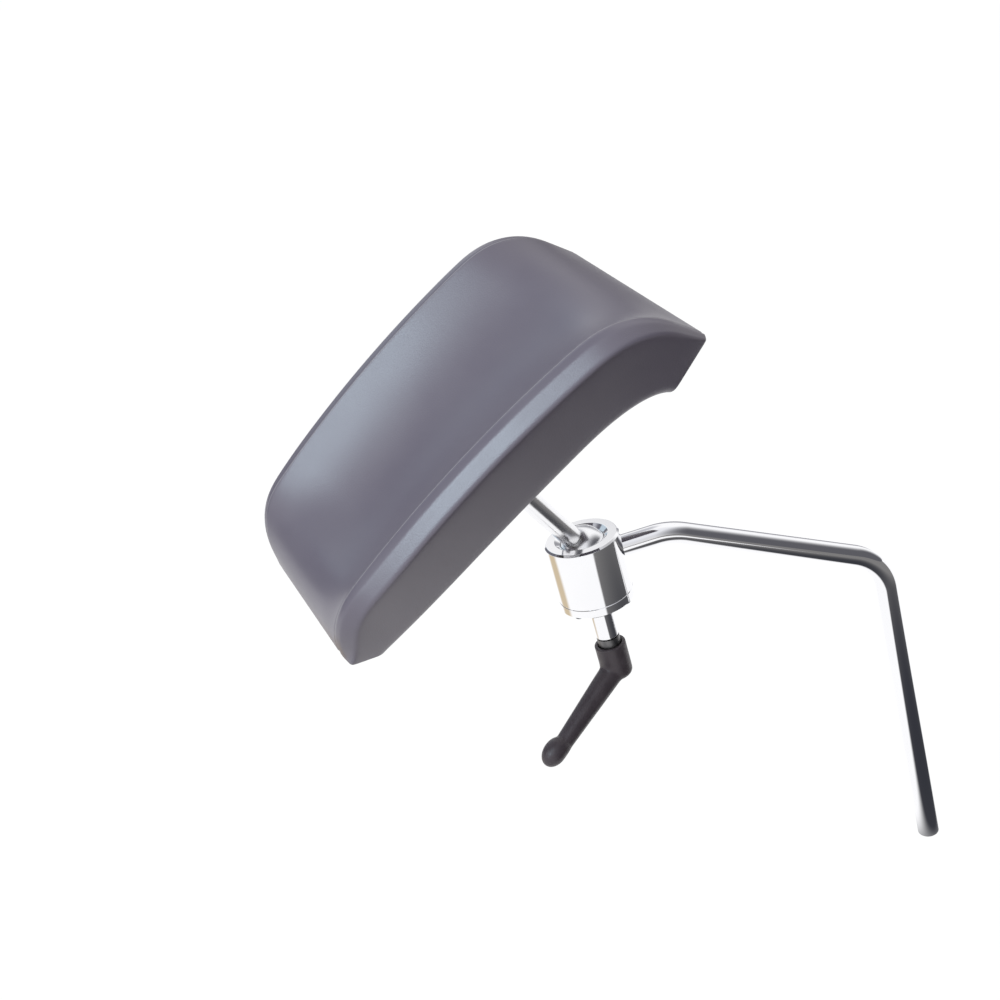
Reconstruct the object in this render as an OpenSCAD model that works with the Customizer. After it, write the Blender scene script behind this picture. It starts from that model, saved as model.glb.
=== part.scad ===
// Articulated leg support of an examination chair: a bent steel rod carries a ball clamp,
// and the ball's stem carries a saddle-shaped pad.
// The origin is on the rod's axis where its round wall starts, above the chamfer of its free lower end.
// +Z runs up the rod and -X towards the pad.

/* [Support rod] */
// Diameter of the bent rod
rod_d = 18; // [14:1:22]
// Height of the lower corner above the origin
rod_lower_len = 285; // [200:5:600]
// Sideways reach of the sloping run
rod_run_reach = 165; // [120:5:240]
// Climb of the sloping run
rod_run_rise = 84; // [50:2:130]
// Length from the upper corner to the axis of the housing
rod_stub_reach = 68; // [60:1:110]
// Centreline radius of the lower bend
rod_lower_bend_r = 42; // [30:1:55]
// Centreline radius of the upper bend
rod_upper_bend_r = 55; // [30:1:60]
// Chamfer on the free end
rod_end_chamfer = 1; // [0.5:0.1:2]
// Depth of the seat that the rod's end is let into
rod_seat_depth = 3; // [2:0.5:4]

/* [Ball housing] */
// Outer diameter of the housing
barrel_d = 60; // [56:1:70]
// Height of the barrel
barrel_h = 50; // [48:1:60]
// Diameter of the barrel's bore
barrel_bore_d = 44; // [42:0.5:45]
// Diameter of the ball
ball_d = 38; // [36:0.5:40]
// Depth of the ball's centre below the barrel's top face
ball_drop = 11; // [10.5:0.5:12]
// Depth of the rod's axis below the barrel's top face
stub_drop = 18.6; // [17:0.2:22]
// Diameter of the lip that holds the ball down
lip_d = 35; // [33:0.5:36]
// Diameter of the flared mouth at the top face
mouth_d = 43; // [40:0.5:46]
// Edge bevel around the barrel's top
barrel_bevel = 1.6; // [0.8:0.2:3]
// Height of the collar that closes the barrel
collar_h = 7.5; // [6:0.5:10]
// Edge bevel around the collar
collar_bevel = 0.8; // [0.4:0.1:1.2]
// Length of the collar's spigot in the bore
collar_spigot_h = 6; // [5:0.5:6]
// Diameter of the threaded boss below the collar
boss_d = 18.8; // [18:0.2:21]
// Length of the boss below the collar
boss_len = 34; // [20:1:45]
// Height of the guide ring around the ball
liner_h = 8; // [5:0.5:8.5]

/* [Clamp screw and lever] */
// Diameter of the clamp screw
screw_d = 12; // [10:1:12]
// Travel of the screw in one turn
screw_pitch = 1.75; // [1:0.25:2]
// Slit between the boss and the lever's insert when clamped
lever_gap = 1; // [0.6:0.1:1.5]
// Height of the insert above the lever's rim
insert_show = 7; // [5:0.5:9]
// Diameter of the insert
insert_d = 18.6; // [18:0.2:19]
// Number of teeth on the insert
tooth_count = 24; // [16:2:28]
// Diameter of the lever's hub at its rim
hub_d = 25.6; // [25:0.2:30]
// Height of the lever's hub
hub_h = 31.5; // [31:0.5:36]
// Length from the hub's axis to the centre of the lever's round end
lever_reach = 84; // [60:2:110]
// Slope of the arm away from the housing
lever_slope = 20; // [10:1:30]
// Direction of the arm around the housing
lever_turn = 215; // [0:5:360]
// Diameter of the arm where it leaves the hub
arm_root_d = 19; // [15:0.5:20]
// Diameter of the arm before its round end
arm_end_d = 13.4; // [10:0.2:15]
// Diameter of the arm's round end
arm_tip_d = 16.4; // [15.5:0.2:20]
// Travel when the lever is pulled off its teeth
lever_lift = 4; // [3:0.5:4]

/* [Stem and plate] */
// Diameter of the stem
stem_d = 17; // [14:0.5:18]
// Length from the ball's centre to the pad's underside
stem_len = 130; // [110:5:160]
// Diameter of the flange on the stem
flange_d = 92; // [80:2:100]
// Thickness of the flange
flange_t = 5; // [4:0.5:8]
// Length of the plate moulded into the pad
plate_l = 150; // [130:5:180]
// Width of the plate
plate_w = 96; // [84:2:110]
// Thickness of the plate
plate_t = 8; // [6:0.5:10]
// Circle diameter of the four pad screws
screw_circle_d = 68; // [60:1:74]
// Thread diameter of the pad screws
pad_screw_d = 6; // [5:1:6]

/* [Pad] */
// Half width between the rims at mid-length
pad_half_w = 84; // [75:0.5:95]
// Growth of the half width from the middle towards the upper end, per hundred of length
pad_taper = 4; // [0:0.5:8]
// Height of the rims above the underside
pad_rim_h = 77; // [68:1:84]
// Depth of the trough at mid-length
pad_trough = 31; // [15:1:36]
// Long radius of the rims
pad_crown_r = 890; // [600:10:2000]
// Arc length from the middle to the upper roll
pad_upper_flat = 99; // [85:1:125]
// Arc length from the middle to the lower roll
pad_lower_flat = 118; // [90:1:125]
// Radius of the upper roll
pad_upper_roll_r = 68; // [55:1:75]
// Radius of the lower roll
pad_lower_roll_r = 52; // [45:1:65]
// Angle that the upper end has rolled down
pad_upper_roll = 69; // [60:1:80]
// Angle that the lower end has rolled down
pad_lower_roll = 67; // [55:1:72]
// Straight piece after the upper roll
pad_upper_tail = 28; // [16:1:34]
// Straight piece after the lower roll
pad_lower_tail = 12; // [8:1:20]
// Thickness of the upper end
pad_upper_end_t = 49; // [40:1:54]
// Thickness of the lower end
pad_lower_end_t = 32; // [26:1:38]
// Overhang of the shoulder outside the rim
pad_shoulder = 14; // [8:0.5:18]
// Drop of the shoulder's edge below the rim
pad_shoulder_drop = 13; // [9:1:18]
// Set-in of the bottom edge from the rim
pad_draw_in = 7.5; // [4:0.5:12]
// Turn-in of the rims near the lower tips
pad_lower_curl = 17; // [4:1:22]

/* [Pose] */
// Turn of the stem's lean around the housing
pose_turn = 31; // [-60:1:60]
// Lean of the stem away from upright
pose_lean = 30.8; // [0:0.2:36]
// Turn of the pad on the stem
pose_spin = -18.3; // [-90:0.1:90]

/* [Hidden] */
$fn = 96;

// Clearances and overruns
fit = 0.05;
gap = 0.3;
over = 1;

// Rod
rod_r = rod_d / 2;
run_slope = atan(rod_run_rise / rod_run_reach);
run_len = rod_run_reach / cos(run_slope);
lower_bend = 90 - run_slope;
lower_tangent = rod_lower_bend_r * tan(lower_bend / 2);
upper_tangent = rod_upper_bend_r * tan(run_slope / 2);
housing_x = -(rod_run_reach + rod_stub_reach);
stub_z = rod_lower_len + rod_run_rise;

// The bends are drawn a little thinner, and each straight runs a little way into them
bend_neck = 0.1;
lap = 1;

// Housing, with heights measured from the ball's centre
ball_r = ball_d / 2;
ball_z = stub_z + stub_drop - ball_drop;
barrel_r = barrel_d / 2;
bore_r = barrel_bore_d / 2;
lip_r = lip_d / 2;
mouth_r = mouth_d / 2;
barrel_top = ball_drop;
barrel_bottom = barrel_top - barrel_h;
seat_r = ball_r + gap;
lip_z = sqrt(seat_r * seat_r - lip_r * lip_r);
shoulder_z = 1.2;
stub_axis_z = ball_drop - stub_drop;
seat_x = barrel_r - rod_seat_depth;
collar_bottom = barrel_bottom - collar_h;
spigot_top = barrel_bottom + collar_spigot_h;
boss_r = boss_d / 2;
boss_bottom = collar_bottom - boss_len;
boss_ledge = 4;
boss_head_share = 0.67;
boss_head_r = boss_r + boss_ledge;
boss_head_h = collar_spigot_h * boss_head_share;
liner_top = shoulder_z - gap;
liner_bottom = liner_top - liner_h;

// Countersunk screw that holds the rod
rod_screw_r = 4;
rod_screw_len = 24;
csk_h = 4;
csk_r = rod_screw_r + csk_h;
hex_r = 2.5;
hex_depth = 2.5;

// Countersunk screws under the collar
collar_screw_count = 4;
collar_screw_r = 2;
collar_screw_len = 16;
collar_csk_h = 2.2;
collar_hex_r = 1.2;
collar_hex_depth = 1.5;
collar_screw_circle_r = (barrel_r + bore_r) / 2;

// Cup, washer and clamp screw
screw_r = screw_d / 2;
cup_clear = 2.4;
cup_top = liner_bottom - cup_clear;
cup_floor = ball_r + gap;
cup_t = 7;
cup_bottom = -(cup_floor + cup_t);
screw_step = 1.2;
thread_share = 0.5;
thread_chamfer = screw_pitch * thread_share;
screw_tip_r = screw_r - screw_step;
screw_tip_h = 3;
washer_t = 2;
washer_bore_r = screw_tip_r + gap / 2;
washer_ledge = 3;
washer_r = screw_r + washer_ledge;
screw_top = cup_bottom - washer_t;

// Lever
insert_top = boss_bottom - lever_gap;
insert_r = insert_d / 2;
hub_r = hub_d / 2;
hub_top = insert_top - insert_show;
hub_bottom = hub_top - hub_h;
recess_ring = 0.9;
recess_r = insert_r + recess_ring;
recess_depth = 4;
recess_floor = hub_top - recess_depth;
tooth_r = 8.2;
tooth_root_r = 7.3;
tooth_w = 0.9;
insert_lift = 0.5;
teeth_top = recess_floor + insert_lift;
teeth_h = 7;
teeth_bottom = teeth_top - teeth_h;
mesh_share = 0.9;
mesh_h = lever_lift * mesh_share;
web_top = teeth_bottom - over;
web_t = 2;
web_bottom = web_top - web_t;
retainer_r = 3;
retainer_head_r = 5.6;
retainer_head_h = 4;
retainer_grip = 4;
chamber_r = 7;
spring_room = 10;
retainer_head_top = web_bottom - spring_room;
spring_wire_d = 1;
spring_turns = 4;
spring_r = 4.6;
screw_foot = 5;
screw_end = teeth_bottom + screw_foot;
hub_round = 3;
hub_round_share = 0.3;
rim_round = 0.8;
arm_rise = 8.5;
arm_z = hub_bottom + arm_rise;
tip_offset = (arm_tip_d - arm_end_d) / 2;

// Stem, with lengths along the stem from the ball's centre
stem_r = stem_d / 2;
ball_flat = sqrt(ball_r * ball_r - stem_r * stem_r);
stem_start = ball_flat + gap;
spigot_r = 6;
spigot_end = 3;
stem_screw_r = 3;
stem_screw_head_r = 5;
stem_screw_head_h = 4;
stem_screw_grip = 12;
ball_recess = 7;
under_pad = stem_len;
flange_bottom = under_pad - flange_t;
weld_size = 4;
flange_hub_r = stem_r + weld_size;

// Pad fasteners
pad_screw_count = 4;
pad_screw_r = pad_screw_d / 2;
pad_screw_head_r = 5;
pad_screw_head_h = 4;
pad_screw_len = 14;
pad_washer_r = 7;
pad_washer_t = 1.6;
nut_r = 7.5;
nut_t = 4;
screw_hex_r = 2.3;
screw_hex_depth = 2.2;

// Pad outline, with heights measured from the rims at mid-length
function rim_phi(flat) = flat / pad_crown_r * 180 / PI;
function rim_arc(side) = side > 0 ? pad_upper_flat : pad_lower_flat;
function rim_roll_r(side) = side > 0 ? pad_upper_roll_r : pad_lower_roll_r;
function rim_roll(side) = side > 0 ? pad_upper_roll : pad_lower_roll;
function rim_tail(side) = side > 0 ? pad_upper_tail : pad_lower_tail;
function end_t(side) = side > 0 ? pad_upper_end_t : pad_lower_end_t;
function end_tip_angle(side) = rim_roll(side) - (side > 0 ? upper_cut : lower_cut);
upper_cut = 6.7;
lower_cut = 27;

// Arc length of the rim from the middle to the tip
function roll_len(side) = (rim_roll(side) - rim_phi(rim_arc(side))) * PI / 180 * rim_roll_r(side);
function rim_len(side) = rim_arc(side) + roll_len(side) + rim_tail(side);

// Tangent angle, and place as [length, height], of the rim at arc length s from the middle
function rim_angle(side, s) = s < rim_arc(side) ? rim_phi(s)
    : min(rim_roll(side), rim_phi(rim_arc(side)) + (s - rim_arc(side)) / rim_roll_r(side) * 180 / PI);
function crown_place(s) = [pad_crown_r * sin(rim_phi(s)), -pad_crown_r * (1 - cos(rim_phi(s)))];
function roll_place(side, a) = crown_place(rim_arc(side)) + rim_roll_r(side)
    * [sin(a) - sin(rim_phi(rim_arc(side))), cos(a) - cos(rim_phi(rim_arc(side)))];
function tail_place(side, t) = roll_place(side, rim_roll(side))
    + t * [cos(rim_roll(side)), -sin(rim_roll(side))];
function rim_place(side, s) = s <= rim_arc(side) ? crown_place(s)
    : s <= rim_arc(side) + roll_len(side) ? roll_place(side, rim_angle(side, s))
    : tail_place(side, s - rim_arc(side) - roll_len(side));

// The trough's floor lies below the rim and meets it at the tip
trough_fade = 105;
function ease(x) = let (c = min(1, max(0, x))) c * c * (3 - 2 * c);
function trough_depth(side, s) = pad_trough * ease((rim_len(side) - s) / trough_fade);
function floor_place(side, s) = rim_place(side, s)
    - trough_depth(side, s) * [sin(rim_angle(side, s)), cos(rim_angle(side, s))];

// The underside is flat, then bends to the inner corner of the end face
under_flat_share = 0.32;
under_pull_share = 0.82;
function end_corner(side) = rim_place(side, rim_len(side))
    - end_t(side) * [sin(end_tip_angle(side)), cos(end_tip_angle(side))];
function bend_place(a, b, c, t) = (1 - t) * (1 - t) * a + 2 * t * (1 - t) * b + t * t * c;
function under_place(side, k) = let (
    corner = end_corner(side),
    flat_end = under_flat_share * corner[0],
    pull = flat_end + under_pull_share * (corner[0] - flat_end)
) k * corner[0] <= flat_end ? [k * corner[0], -pad_rim_h]
    : bend_place([flat_end, -pad_rim_h], [pull, -pad_rim_h], corner,
        (k - under_flat_share) / (1 - under_flat_share));

// Half width at a signed length from the middle, and the share of the shoulder that is left near a tip
bow_share = 0.0023;
taper_base = 100;
function half_w(l) = pad_half_w + pad_taper * l / taper_base
    + bow_share * taper_base * (l / taper_base) * (l / taper_base);
shoulder_fade = 106;
upper_tip_share = 0.3;
lower_tip_share = 0.16;
function shoulder_share(side, s) = let (tip = side > 0 ? upper_tip_share : lower_tip_share)
    tip + (1 - tip) * pow(sin(90 * min(1, (rim_len(side) - s) / shoulder_fade)), 0.8);

// The rims turn in towards the lower tips
curl_run = 80;
curl_power = 2.6;
function curl(side, s) = side > 0 ? 0
    : pad_lower_curl * pow(1 - min(1, (rim_len(side) - s) / curl_run), curl_power);
function ridge_w(side, s) = half_w(side * rim_place(side, s)[0]) - curl(side, s);

// One ring of the pad, over the trough at shares across it
top_steps = 12;
function top_point(side, s, x) = let (
    r = rim_place(side, s),
    f = floor_place(side, s),
    q = f + (r - f) * x * x
) [side * q[0], x * ridge_w(side, s), q[1]];

// Side points as shares of the shoulder's overhang and drop, then of the wall down to the underside
shoulder_shares = [[0.4, 0.2], [0.76, 0.58], [1, 1]];
wall_shares = [[0.12, 0.14], [0.48, 0.52], [0.86, 0.86]];
edge_share = 0.93;
function side_point(side, s, hand, p) = let (
    r = rim_place(side, s),
    a = rim_angle(side, s),
    h = shoulder_share(side, s),
    q = r - p[1] * pad_shoulder_drop * h * [sin(a), cos(a)]
) [side * q[0], hand * (ridge_w(side, s) + p[0] * (pad_shoulder * h + curl(side, s))), q[1]];
function foot_point(side, s, k, hand, inset) = let (
    u = under_place(side, k)
) [side * u[0], hand * (half_w(side * rim_place(side, s)[0]) - pad_draw_in) * inset, u[1]];
function wall_point(side, s, k, hand, p) = let (
    a = side_point(side, s, hand, [1, 1]),
    b = foot_point(side, s, k, hand, 1),
    m = a + (b - a) * p[1]
) [m[0], a[1] + (b[1] - a[1]) * p[0], m[2]];

function ring(side, k) = let (s = k * rim_len(side)) concat(
    [for (i = [0 : top_steps]) top_point(side, s, 1 - 2 * i / top_steps)],
    [for (p = shoulder_shares) side_point(side, s, -1, p)],
    [for (p = wall_shares) wall_point(side, s, k, -1, p)],
    [foot_point(side, s, k, -1, edge_share)],
    [foot_point(side, s, k, 0, edge_share)],
    [foot_point(side, s, k, 1, edge_share)],
    [for (i = [2 : -1 : 0]) wall_point(side, s, k, 1, wall_shares[i])],
    [for (i = [2 : -1 : 0]) side_point(side, s, 1, shoulder_shares[i])]
);

// Rings run from the lower tip to the upper tip, closer together on the rolls
ring_shares = [0, 0.16, 0.32, 0.45, 0.55, 0.62, 0.68, 0.74, 0.79, 0.84, 0.88, 0.92, 0.96, 1];
rings = concat(
    [for (i = [len(ring_shares) - 1 : -1 : 1]) ring(-1, ring_shares[i])],
    [for (k = ring_shares) ring(1, k)]
);
ring_n = len(rings[0]);
function middle(points) = [for (i = [0 : 2]) [for (p = points) p[i]] * [for (p = points) 1] / len(points)];
pad_points = concat([for (r = rings) each r], [middle(rings[0]), middle(rings[len(rings) - 1])]);
low_centre = len(rings) * ring_n;
high_ring = low_centre - ring_n;
pad_sides = [for (i = [0 : len(rings) - 2]) for (j = [0 : ring_n - 1]) let (
    a = i * ring_n + j,
    b = i * ring_n + (j + 1) % ring_n
) each [[a, a + ring_n, b], [b, a + ring_n, b + ring_n]]];
pad_caps = [for (j = [0 : ring_n - 1]) let (k = (j + 1) % ring_n)
    each [[j, k, low_centre], [high_ring + k, high_ring + j, low_centre + 1]]];

// Frames
module in_housing() {
    translate([housing_x, 0, ball_z]) children();
}

module on_stem() {
    in_housing() rotate([0, 0, pose_turn]) rotate([0, -pose_lean, 0]) rotate([0, 0, pose_spin]) children();
}

module around(count, radius, turn = 0) {
    for (i = [0 : count - 1]) rotate([0, 0, turn + 360 * i / count]) translate([radius, 0, 0]) children();
}

// A solid turned from points given as [radius, height]
module turned(points) {
    rotate_extrude() polygon(points);
}

module support_rod() {
    color("silver") difference() {
        union() {
            turned([[0, -rod_end_chamfer], [rod_r - rod_end_chamfer, -rod_end_chamfer], [rod_r, 0],
                [rod_r, rod_lower_len - lower_tangent + lap], [0, rod_lower_len - lower_tangent + lap]]);
            translate([-rod_lower_bend_r, 0, rod_lower_len - lower_tangent]) rotate([90, 0, 0])
                rotate_extrude(angle = lower_bend) translate([rod_lower_bend_r, 0])
                circle(r = rod_r - bend_neck);
            translate([0, 0, rod_lower_len]) rotate([0, -lower_bend, 0])
                translate([0, 0, lower_tangent - lap])
                cylinder(r = rod_r, h = run_len - lower_tangent - upper_tangent + 2 * lap);
            translate([-rod_run_reach - upper_tangent, 0, stub_z - rod_upper_bend_r]) rotate([90, 0, 0])
                rotate([0, 0, lower_bend]) rotate_extrude(angle = run_slope)
                translate([rod_upper_bend_r, 0]) circle(r = rod_r - bend_neck);
            translate([housing_x + seat_x, 0, stub_z]) rotate([0, 90, 0])
                cylinder(r = rod_r, h = rod_stub_reach - seat_x - upper_tangent + lap);
        }
        translate([housing_x + seat_x - over, 0, stub_z]) rotate([0, 90, 0])
            cylinder(r = rod_screw_r + fit, h = rod_screw_len + over);
    }
}

// Countersunk screw with its flat head at height zero and its shank along +Z
module flat_screw(r, head_h, length, key_r, key_depth) {
    difference() {
        turned([[0, 0], [r + head_h, 0], [r, head_h], [r, length], [0, length]]);
        translate([0, 0, -over]) cylinder(r = key_r, h = key_depth + over, $fn = 6);
    }
}

module rod_screw() {
    color("dimgray") in_housing() translate([bore_r + gap, 0, stub_axis_z]) rotate([0, 90, 0])
        flat_screw(rod_screw_r, csk_h, rod_screw_len, hex_r, hex_depth);
}

module socket_barrel() {
    color("gainsboro") in_housing() difference() {
        turned([
            [barrel_r, barrel_bottom], [barrel_r, barrel_top - barrel_bevel],
            [barrel_r - barrel_bevel, barrel_top], [mouth_r, barrel_top],
            [lip_r, lip_z], [seat_r, shoulder_z], [bore_r, shoulder_z], [bore_r, barrel_bottom]
        ]);
        sphere(r = seat_r);
        translate([seat_x, 0, stub_axis_z]) rotate([0, 90, 0])
            cylinder(r = rod_r + fit, h = rod_seat_depth + over);
        translate([0, 0, stub_axis_z]) rotate([0, 90, 0])
            cylinder(r = rod_screw_r + fit, h = barrel_r);
        translate([bore_r + gap, 0, stub_axis_z]) rotate([0, 90, 0])
            cylinder(r1 = csk_r + fit, r2 = rod_screw_r + fit, h = csk_h);
        translate([bore_r - over, 0, stub_axis_z]) rotate([0, 90, 0])
            cylinder(r = csk_r + fit, h = over + gap);
        around(collar_screw_count, collar_screw_circle_r, 45) translate([0, 0, barrel_bottom - over])
            cylinder(r = collar_screw_r + fit, h = collar_screw_len - collar_h + 2 * over);
    }
}

module base_collar() {
    color("gainsboro") in_housing() difference() {
        union() {
            turned([[0, collar_bottom], [barrel_r - collar_bevel, collar_bottom],
                [barrel_r, collar_bottom + collar_bevel], [barrel_r, barrel_bottom - collar_bevel / 2],
                [barrel_r - collar_bevel / 2, barrel_bottom], [0, barrel_bottom]]);
            translate([0, 0, barrel_bottom]) cylinder(r = bore_r - fit, h = collar_spigot_h);
        }
        translate([0, 0, collar_bottom - over]) cylinder(r = boss_r + fit, h = barrel_h);
        translate([0, 0, spigot_top - boss_head_h]) cylinder(r = boss_head_r + fit, h = barrel_h);
        around(collar_screw_count, collar_screw_circle_r, 45) translate([0, 0, collar_bottom]) {
            translate([0, 0, -over]) cylinder(r = collar_screw_r + fit, h = collar_h + 2 * over);
            cylinder(r1 = collar_screw_r + collar_csk_h + fit, r2 = collar_screw_r + fit, h = collar_csk_h);
        }
    }
}

module collar_screws() {
    color("dimgray") in_housing() around(collar_screw_count, collar_screw_circle_r, 45)
        translate([0, 0, collar_bottom])
        flat_screw(collar_screw_r, collar_csk_h, collar_screw_len, collar_hex_r, collar_hex_depth);
}

module thread_boss() {
    color("gainsboro") in_housing() difference() {
        turned([[0, boss_bottom], [boss_r, boss_bottom], [boss_r, spigot_top - boss_head_h],
            [boss_head_r, spigot_top - boss_head_h], [boss_head_r, spigot_top], [0, spigot_top]]);
        translate([0, 0, boss_bottom - over]) cylinder(r = screw_r + fit, h = barrel_h + boss_len);
        translate([0, 0, boss_bottom])
            cylinder(r1 = screw_r + fit + thread_chamfer, r2 = screw_r + fit, h = thread_chamfer);
    }
}

module seat_liner() {
    color("ivory") in_housing() difference() {
        translate([0, 0, liner_bottom]) cylinder(r = bore_r - gap, h = liner_h);
        sphere(r = seat_r);
    }
}

module joint_ball() {
    color("silver") on_stem() difference() {
        sphere(r = ball_r);
        translate([0, 0, ball_flat]) cylinder(r = ball_r, h = ball_r);
        translate([0, 0, spigot_end]) cylinder(r = spigot_r + fit, h = ball_r);
        translate([0, 0, -ball_r]) cylinder(r = stem_screw_r + gap, h = ball_d);
        translate([0, 0, -ball_r - over]) cylinder(r = stem_screw_head_r + gap, h = ball_recess + over);
    }
}

module stem() {
    color("silver") on_stem() difference() {
        turned([[0, spigot_end + gap], [spigot_r, spigot_end + gap], [spigot_r, stem_start],
            [stem_r, stem_start], [stem_r, under_pad], [0, under_pad]]);
        translate([0, 0, spigot_end]) cylinder(r = stem_screw_r + fit, h = stem_screw_grip + gap);
    }
}

// Cap screw with its head's top at height zero, and its shank along +Z
module cap_screw(r, head_r, head_h, length, key_r, key_depth) {
    difference() {
        turned([[0, 0], [head_r, 0], [head_r, head_h], [r, head_h], [r, head_h + length],
            [0, head_h + length]]);
        translate([0, 0, -over]) cylinder(r = key_r, h = key_depth + over, $fn = 6);
    }
}

module stem_screw() {
    color("dimgray") on_stem() translate([0, 0, -ball_r + ball_recess - gap - stem_screw_head_h])
        cap_screw(stem_screw_r, stem_screw_head_r, stem_screw_head_h,
            ball_r - ball_recess + spigot_end + stem_screw_grip, screw_hex_r, screw_hex_depth);
}

module stem_flange() {
    color("silver") on_stem() difference() {
        translate([0, 0, flange_bottom]) cylinder(r = flange_d / 2, h = flange_t);
        translate([0, 0, flange_bottom - over]) cylinder(r = stem_r + fit, h = flange_t + 2 * over);
        around(pad_screw_count, screw_circle_d / 2, 45) translate([0, 0, flange_bottom - over])
            cylinder(r = pad_screw_r + gap, h = flange_t + 2 * over);
    }
}

module flange_weld() {
    color("gray") on_stem() turned([[stem_r + fit, flange_bottom], [flange_hub_r, flange_bottom],
        [stem_r + fit, flange_bottom - weld_size]]);
}

module pad_plate() {
    color("peru") on_stem() difference() {
        translate([-plate_l / 2, -plate_w / 2, under_pad]) cube([plate_l, plate_w, plate_t]);
        around(pad_screw_count, screw_circle_d / 2, 45) translate([0, 0, under_pad]) {
            translate([0, 0, -over]) cylinder(r = pad_screw_r + gap, h = plate_t + 2 * over);
            translate([0, 0, plate_t - nut_t]) cylinder(r = nut_r + fit, h = nut_t + over);
        }
    }
}

module plate_nuts() {
    color("gray") on_stem() around(pad_screw_count, screw_circle_d / 2, 45)
        translate([0, 0, under_pad + plate_t - nut_t]) difference() {
            cylinder(r = nut_r, h = nut_t);
            translate([0, 0, -over]) cylinder(r = pad_screw_r + fit, h = nut_t + 2 * over);
        }
}

module pad_screws() {
    color("dimgray") on_stem() around(pad_screw_count, screw_circle_d / 2, 45)
        translate([0, 0, flange_bottom - pad_washer_t - pad_screw_head_h])
        cap_screw(pad_screw_r, pad_screw_head_r, pad_screw_head_h, pad_screw_len,
            screw_hex_r, screw_hex_depth);
}

module screw_washers() {
    color("silver") on_stem() around(pad_screw_count, screw_circle_d / 2, 45)
        translate([0, 0, flange_bottom - pad_washer_t]) difference() {
            cylinder(r = pad_washer_r, h = pad_washer_t);
            translate([0, 0, -over]) cylinder(r = pad_screw_r + gap, h = pad_washer_t + 2 * over);
        }
}

module leg_pad() {
    color([0.46, 0.45, 0.5]) on_stem() translate([0, 0, under_pad + pad_rim_h]) difference() {
        polyhedron(pad_points, concat(pad_sides, pad_caps), convexity = 6);
        translate([-plate_l / 2 - gap, -plate_w / 2 - gap, -pad_rim_h - over])
            cube([plate_l + 2 * gap, plate_w + 2 * gap, plate_t + gap + over]);
    }
}

module pressure_cup() {
    color("darkgray") in_housing() difference() {
        translate([0, 0, cup_bottom]) cylinder(r = bore_r - gap, h = cup_top - cup_bottom);
        sphere(r = seat_r);
        translate([0, 0, cup_bottom - over]) cylinder(r = screw_tip_r + fit, h = screw_tip_h + gap + over);
    }
}

module thrust_washer() {
    color("goldenrod") in_housing() translate([0, 0, cup_bottom - washer_t]) difference() {
        cylinder(r = washer_r, h = washer_t);
        translate([0, 0, -over]) cylinder(r = washer_bore_r, h = washer_t + 2 * over);
    }
}

module clamp_screw() {
    color("silver") in_housing() turned([[0, screw_end], [screw_r - thread_chamfer, screw_end],
        [screw_r, screw_end + thread_chamfer], [screw_r, screw_top], [screw_tip_r, screw_top],
        [screw_tip_r, cup_bottom + screw_tip_h], [0, cup_bottom + screw_tip_h]]);
}

module teeth(root_r, tip_r, width, height) {
    linear_extrude(height) union() {
        circle(r = root_r);
        for (i = [0 : tooth_count - 1]) rotate(360 * i / tooth_count)
            translate([root_r - over, -width / 2]) square([tip_r - root_r + over, width]);
    }
}

module lever_insert() {
    color([0.2, 0.2, 0.21]) in_housing() difference() {
        union() {
            translate([0, 0, teeth_top]) cylinder(r = insert_r, h = insert_top - teeth_top);
            translate([0, 0, teeth_bottom]) teeth(tooth_root_r, tooth_r, tooth_w, teeth_h);
        }
        translate([0, 0, screw_end - gap]) cylinder(r = screw_r + fit, h = barrel_h);
        translate([0, 0, teeth_bottom - over]) cylinder(r = retainer_r + fit, h = barrel_h);
    }
}

module lever_arm() {
    rotate([0, 0, lever_turn]) translate([0, 0, arm_z]) rotate([0, 90 + lever_slope, 0]) {
        hull() {
            sphere(r = arm_root_d / 2, $fn = 32);
            translate([0, 0, lever_reach / cos(lever_slope)]) sphere(r = arm_end_d / 2, $fn = 32);
        }
        translate([-tip_offset, 0, lever_reach / cos(lever_slope)]) sphere(r = arm_tip_d / 2, $fn = 48);
    }
}

module lever_handle() {
    color([0.25, 0.25, 0.27]) in_housing() difference() {
        union() {
            turned([[0, hub_bottom], [hub_r - hub_round, hub_bottom],
                [hub_r - hub_round * hub_round_share, hub_bottom + hub_round * hub_round_share],
                [hub_r, hub_bottom + hub_round], [hub_r, hub_top - rim_round], [hub_r - rim_round, hub_top],
                [0, hub_top]]);
            lever_arm();
        }
        translate([0, 0, recess_floor]) cylinder(r = recess_r, h = recess_depth + over);
        translate([0, 0, teeth_bottom + mesh_h]) cylinder(r = tooth_r + gap, h = hub_h);
        translate([0, 0, web_top]) teeth(tooth_root_r + gap, tooth_r + gap, tooth_w + 2 * gap, teeth_h);
        translate([0, 0, hub_bottom - over]) cylinder(r = chamber_r, h = web_bottom - hub_bottom + over);
        translate([0, 0, web_bottom - over]) cylinder(r = retainer_r + gap, h = web_t + 2 * over);
    }
}

module lever_screw() {
    color("dimgray") in_housing() translate([0, 0, retainer_head_top - retainer_head_h])
        cap_screw(retainer_r, retainer_head_r, retainer_head_h,
            teeth_bottom - retainer_head_top + retainer_grip, screw_hex_r, screw_hex_depth);
}

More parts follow.
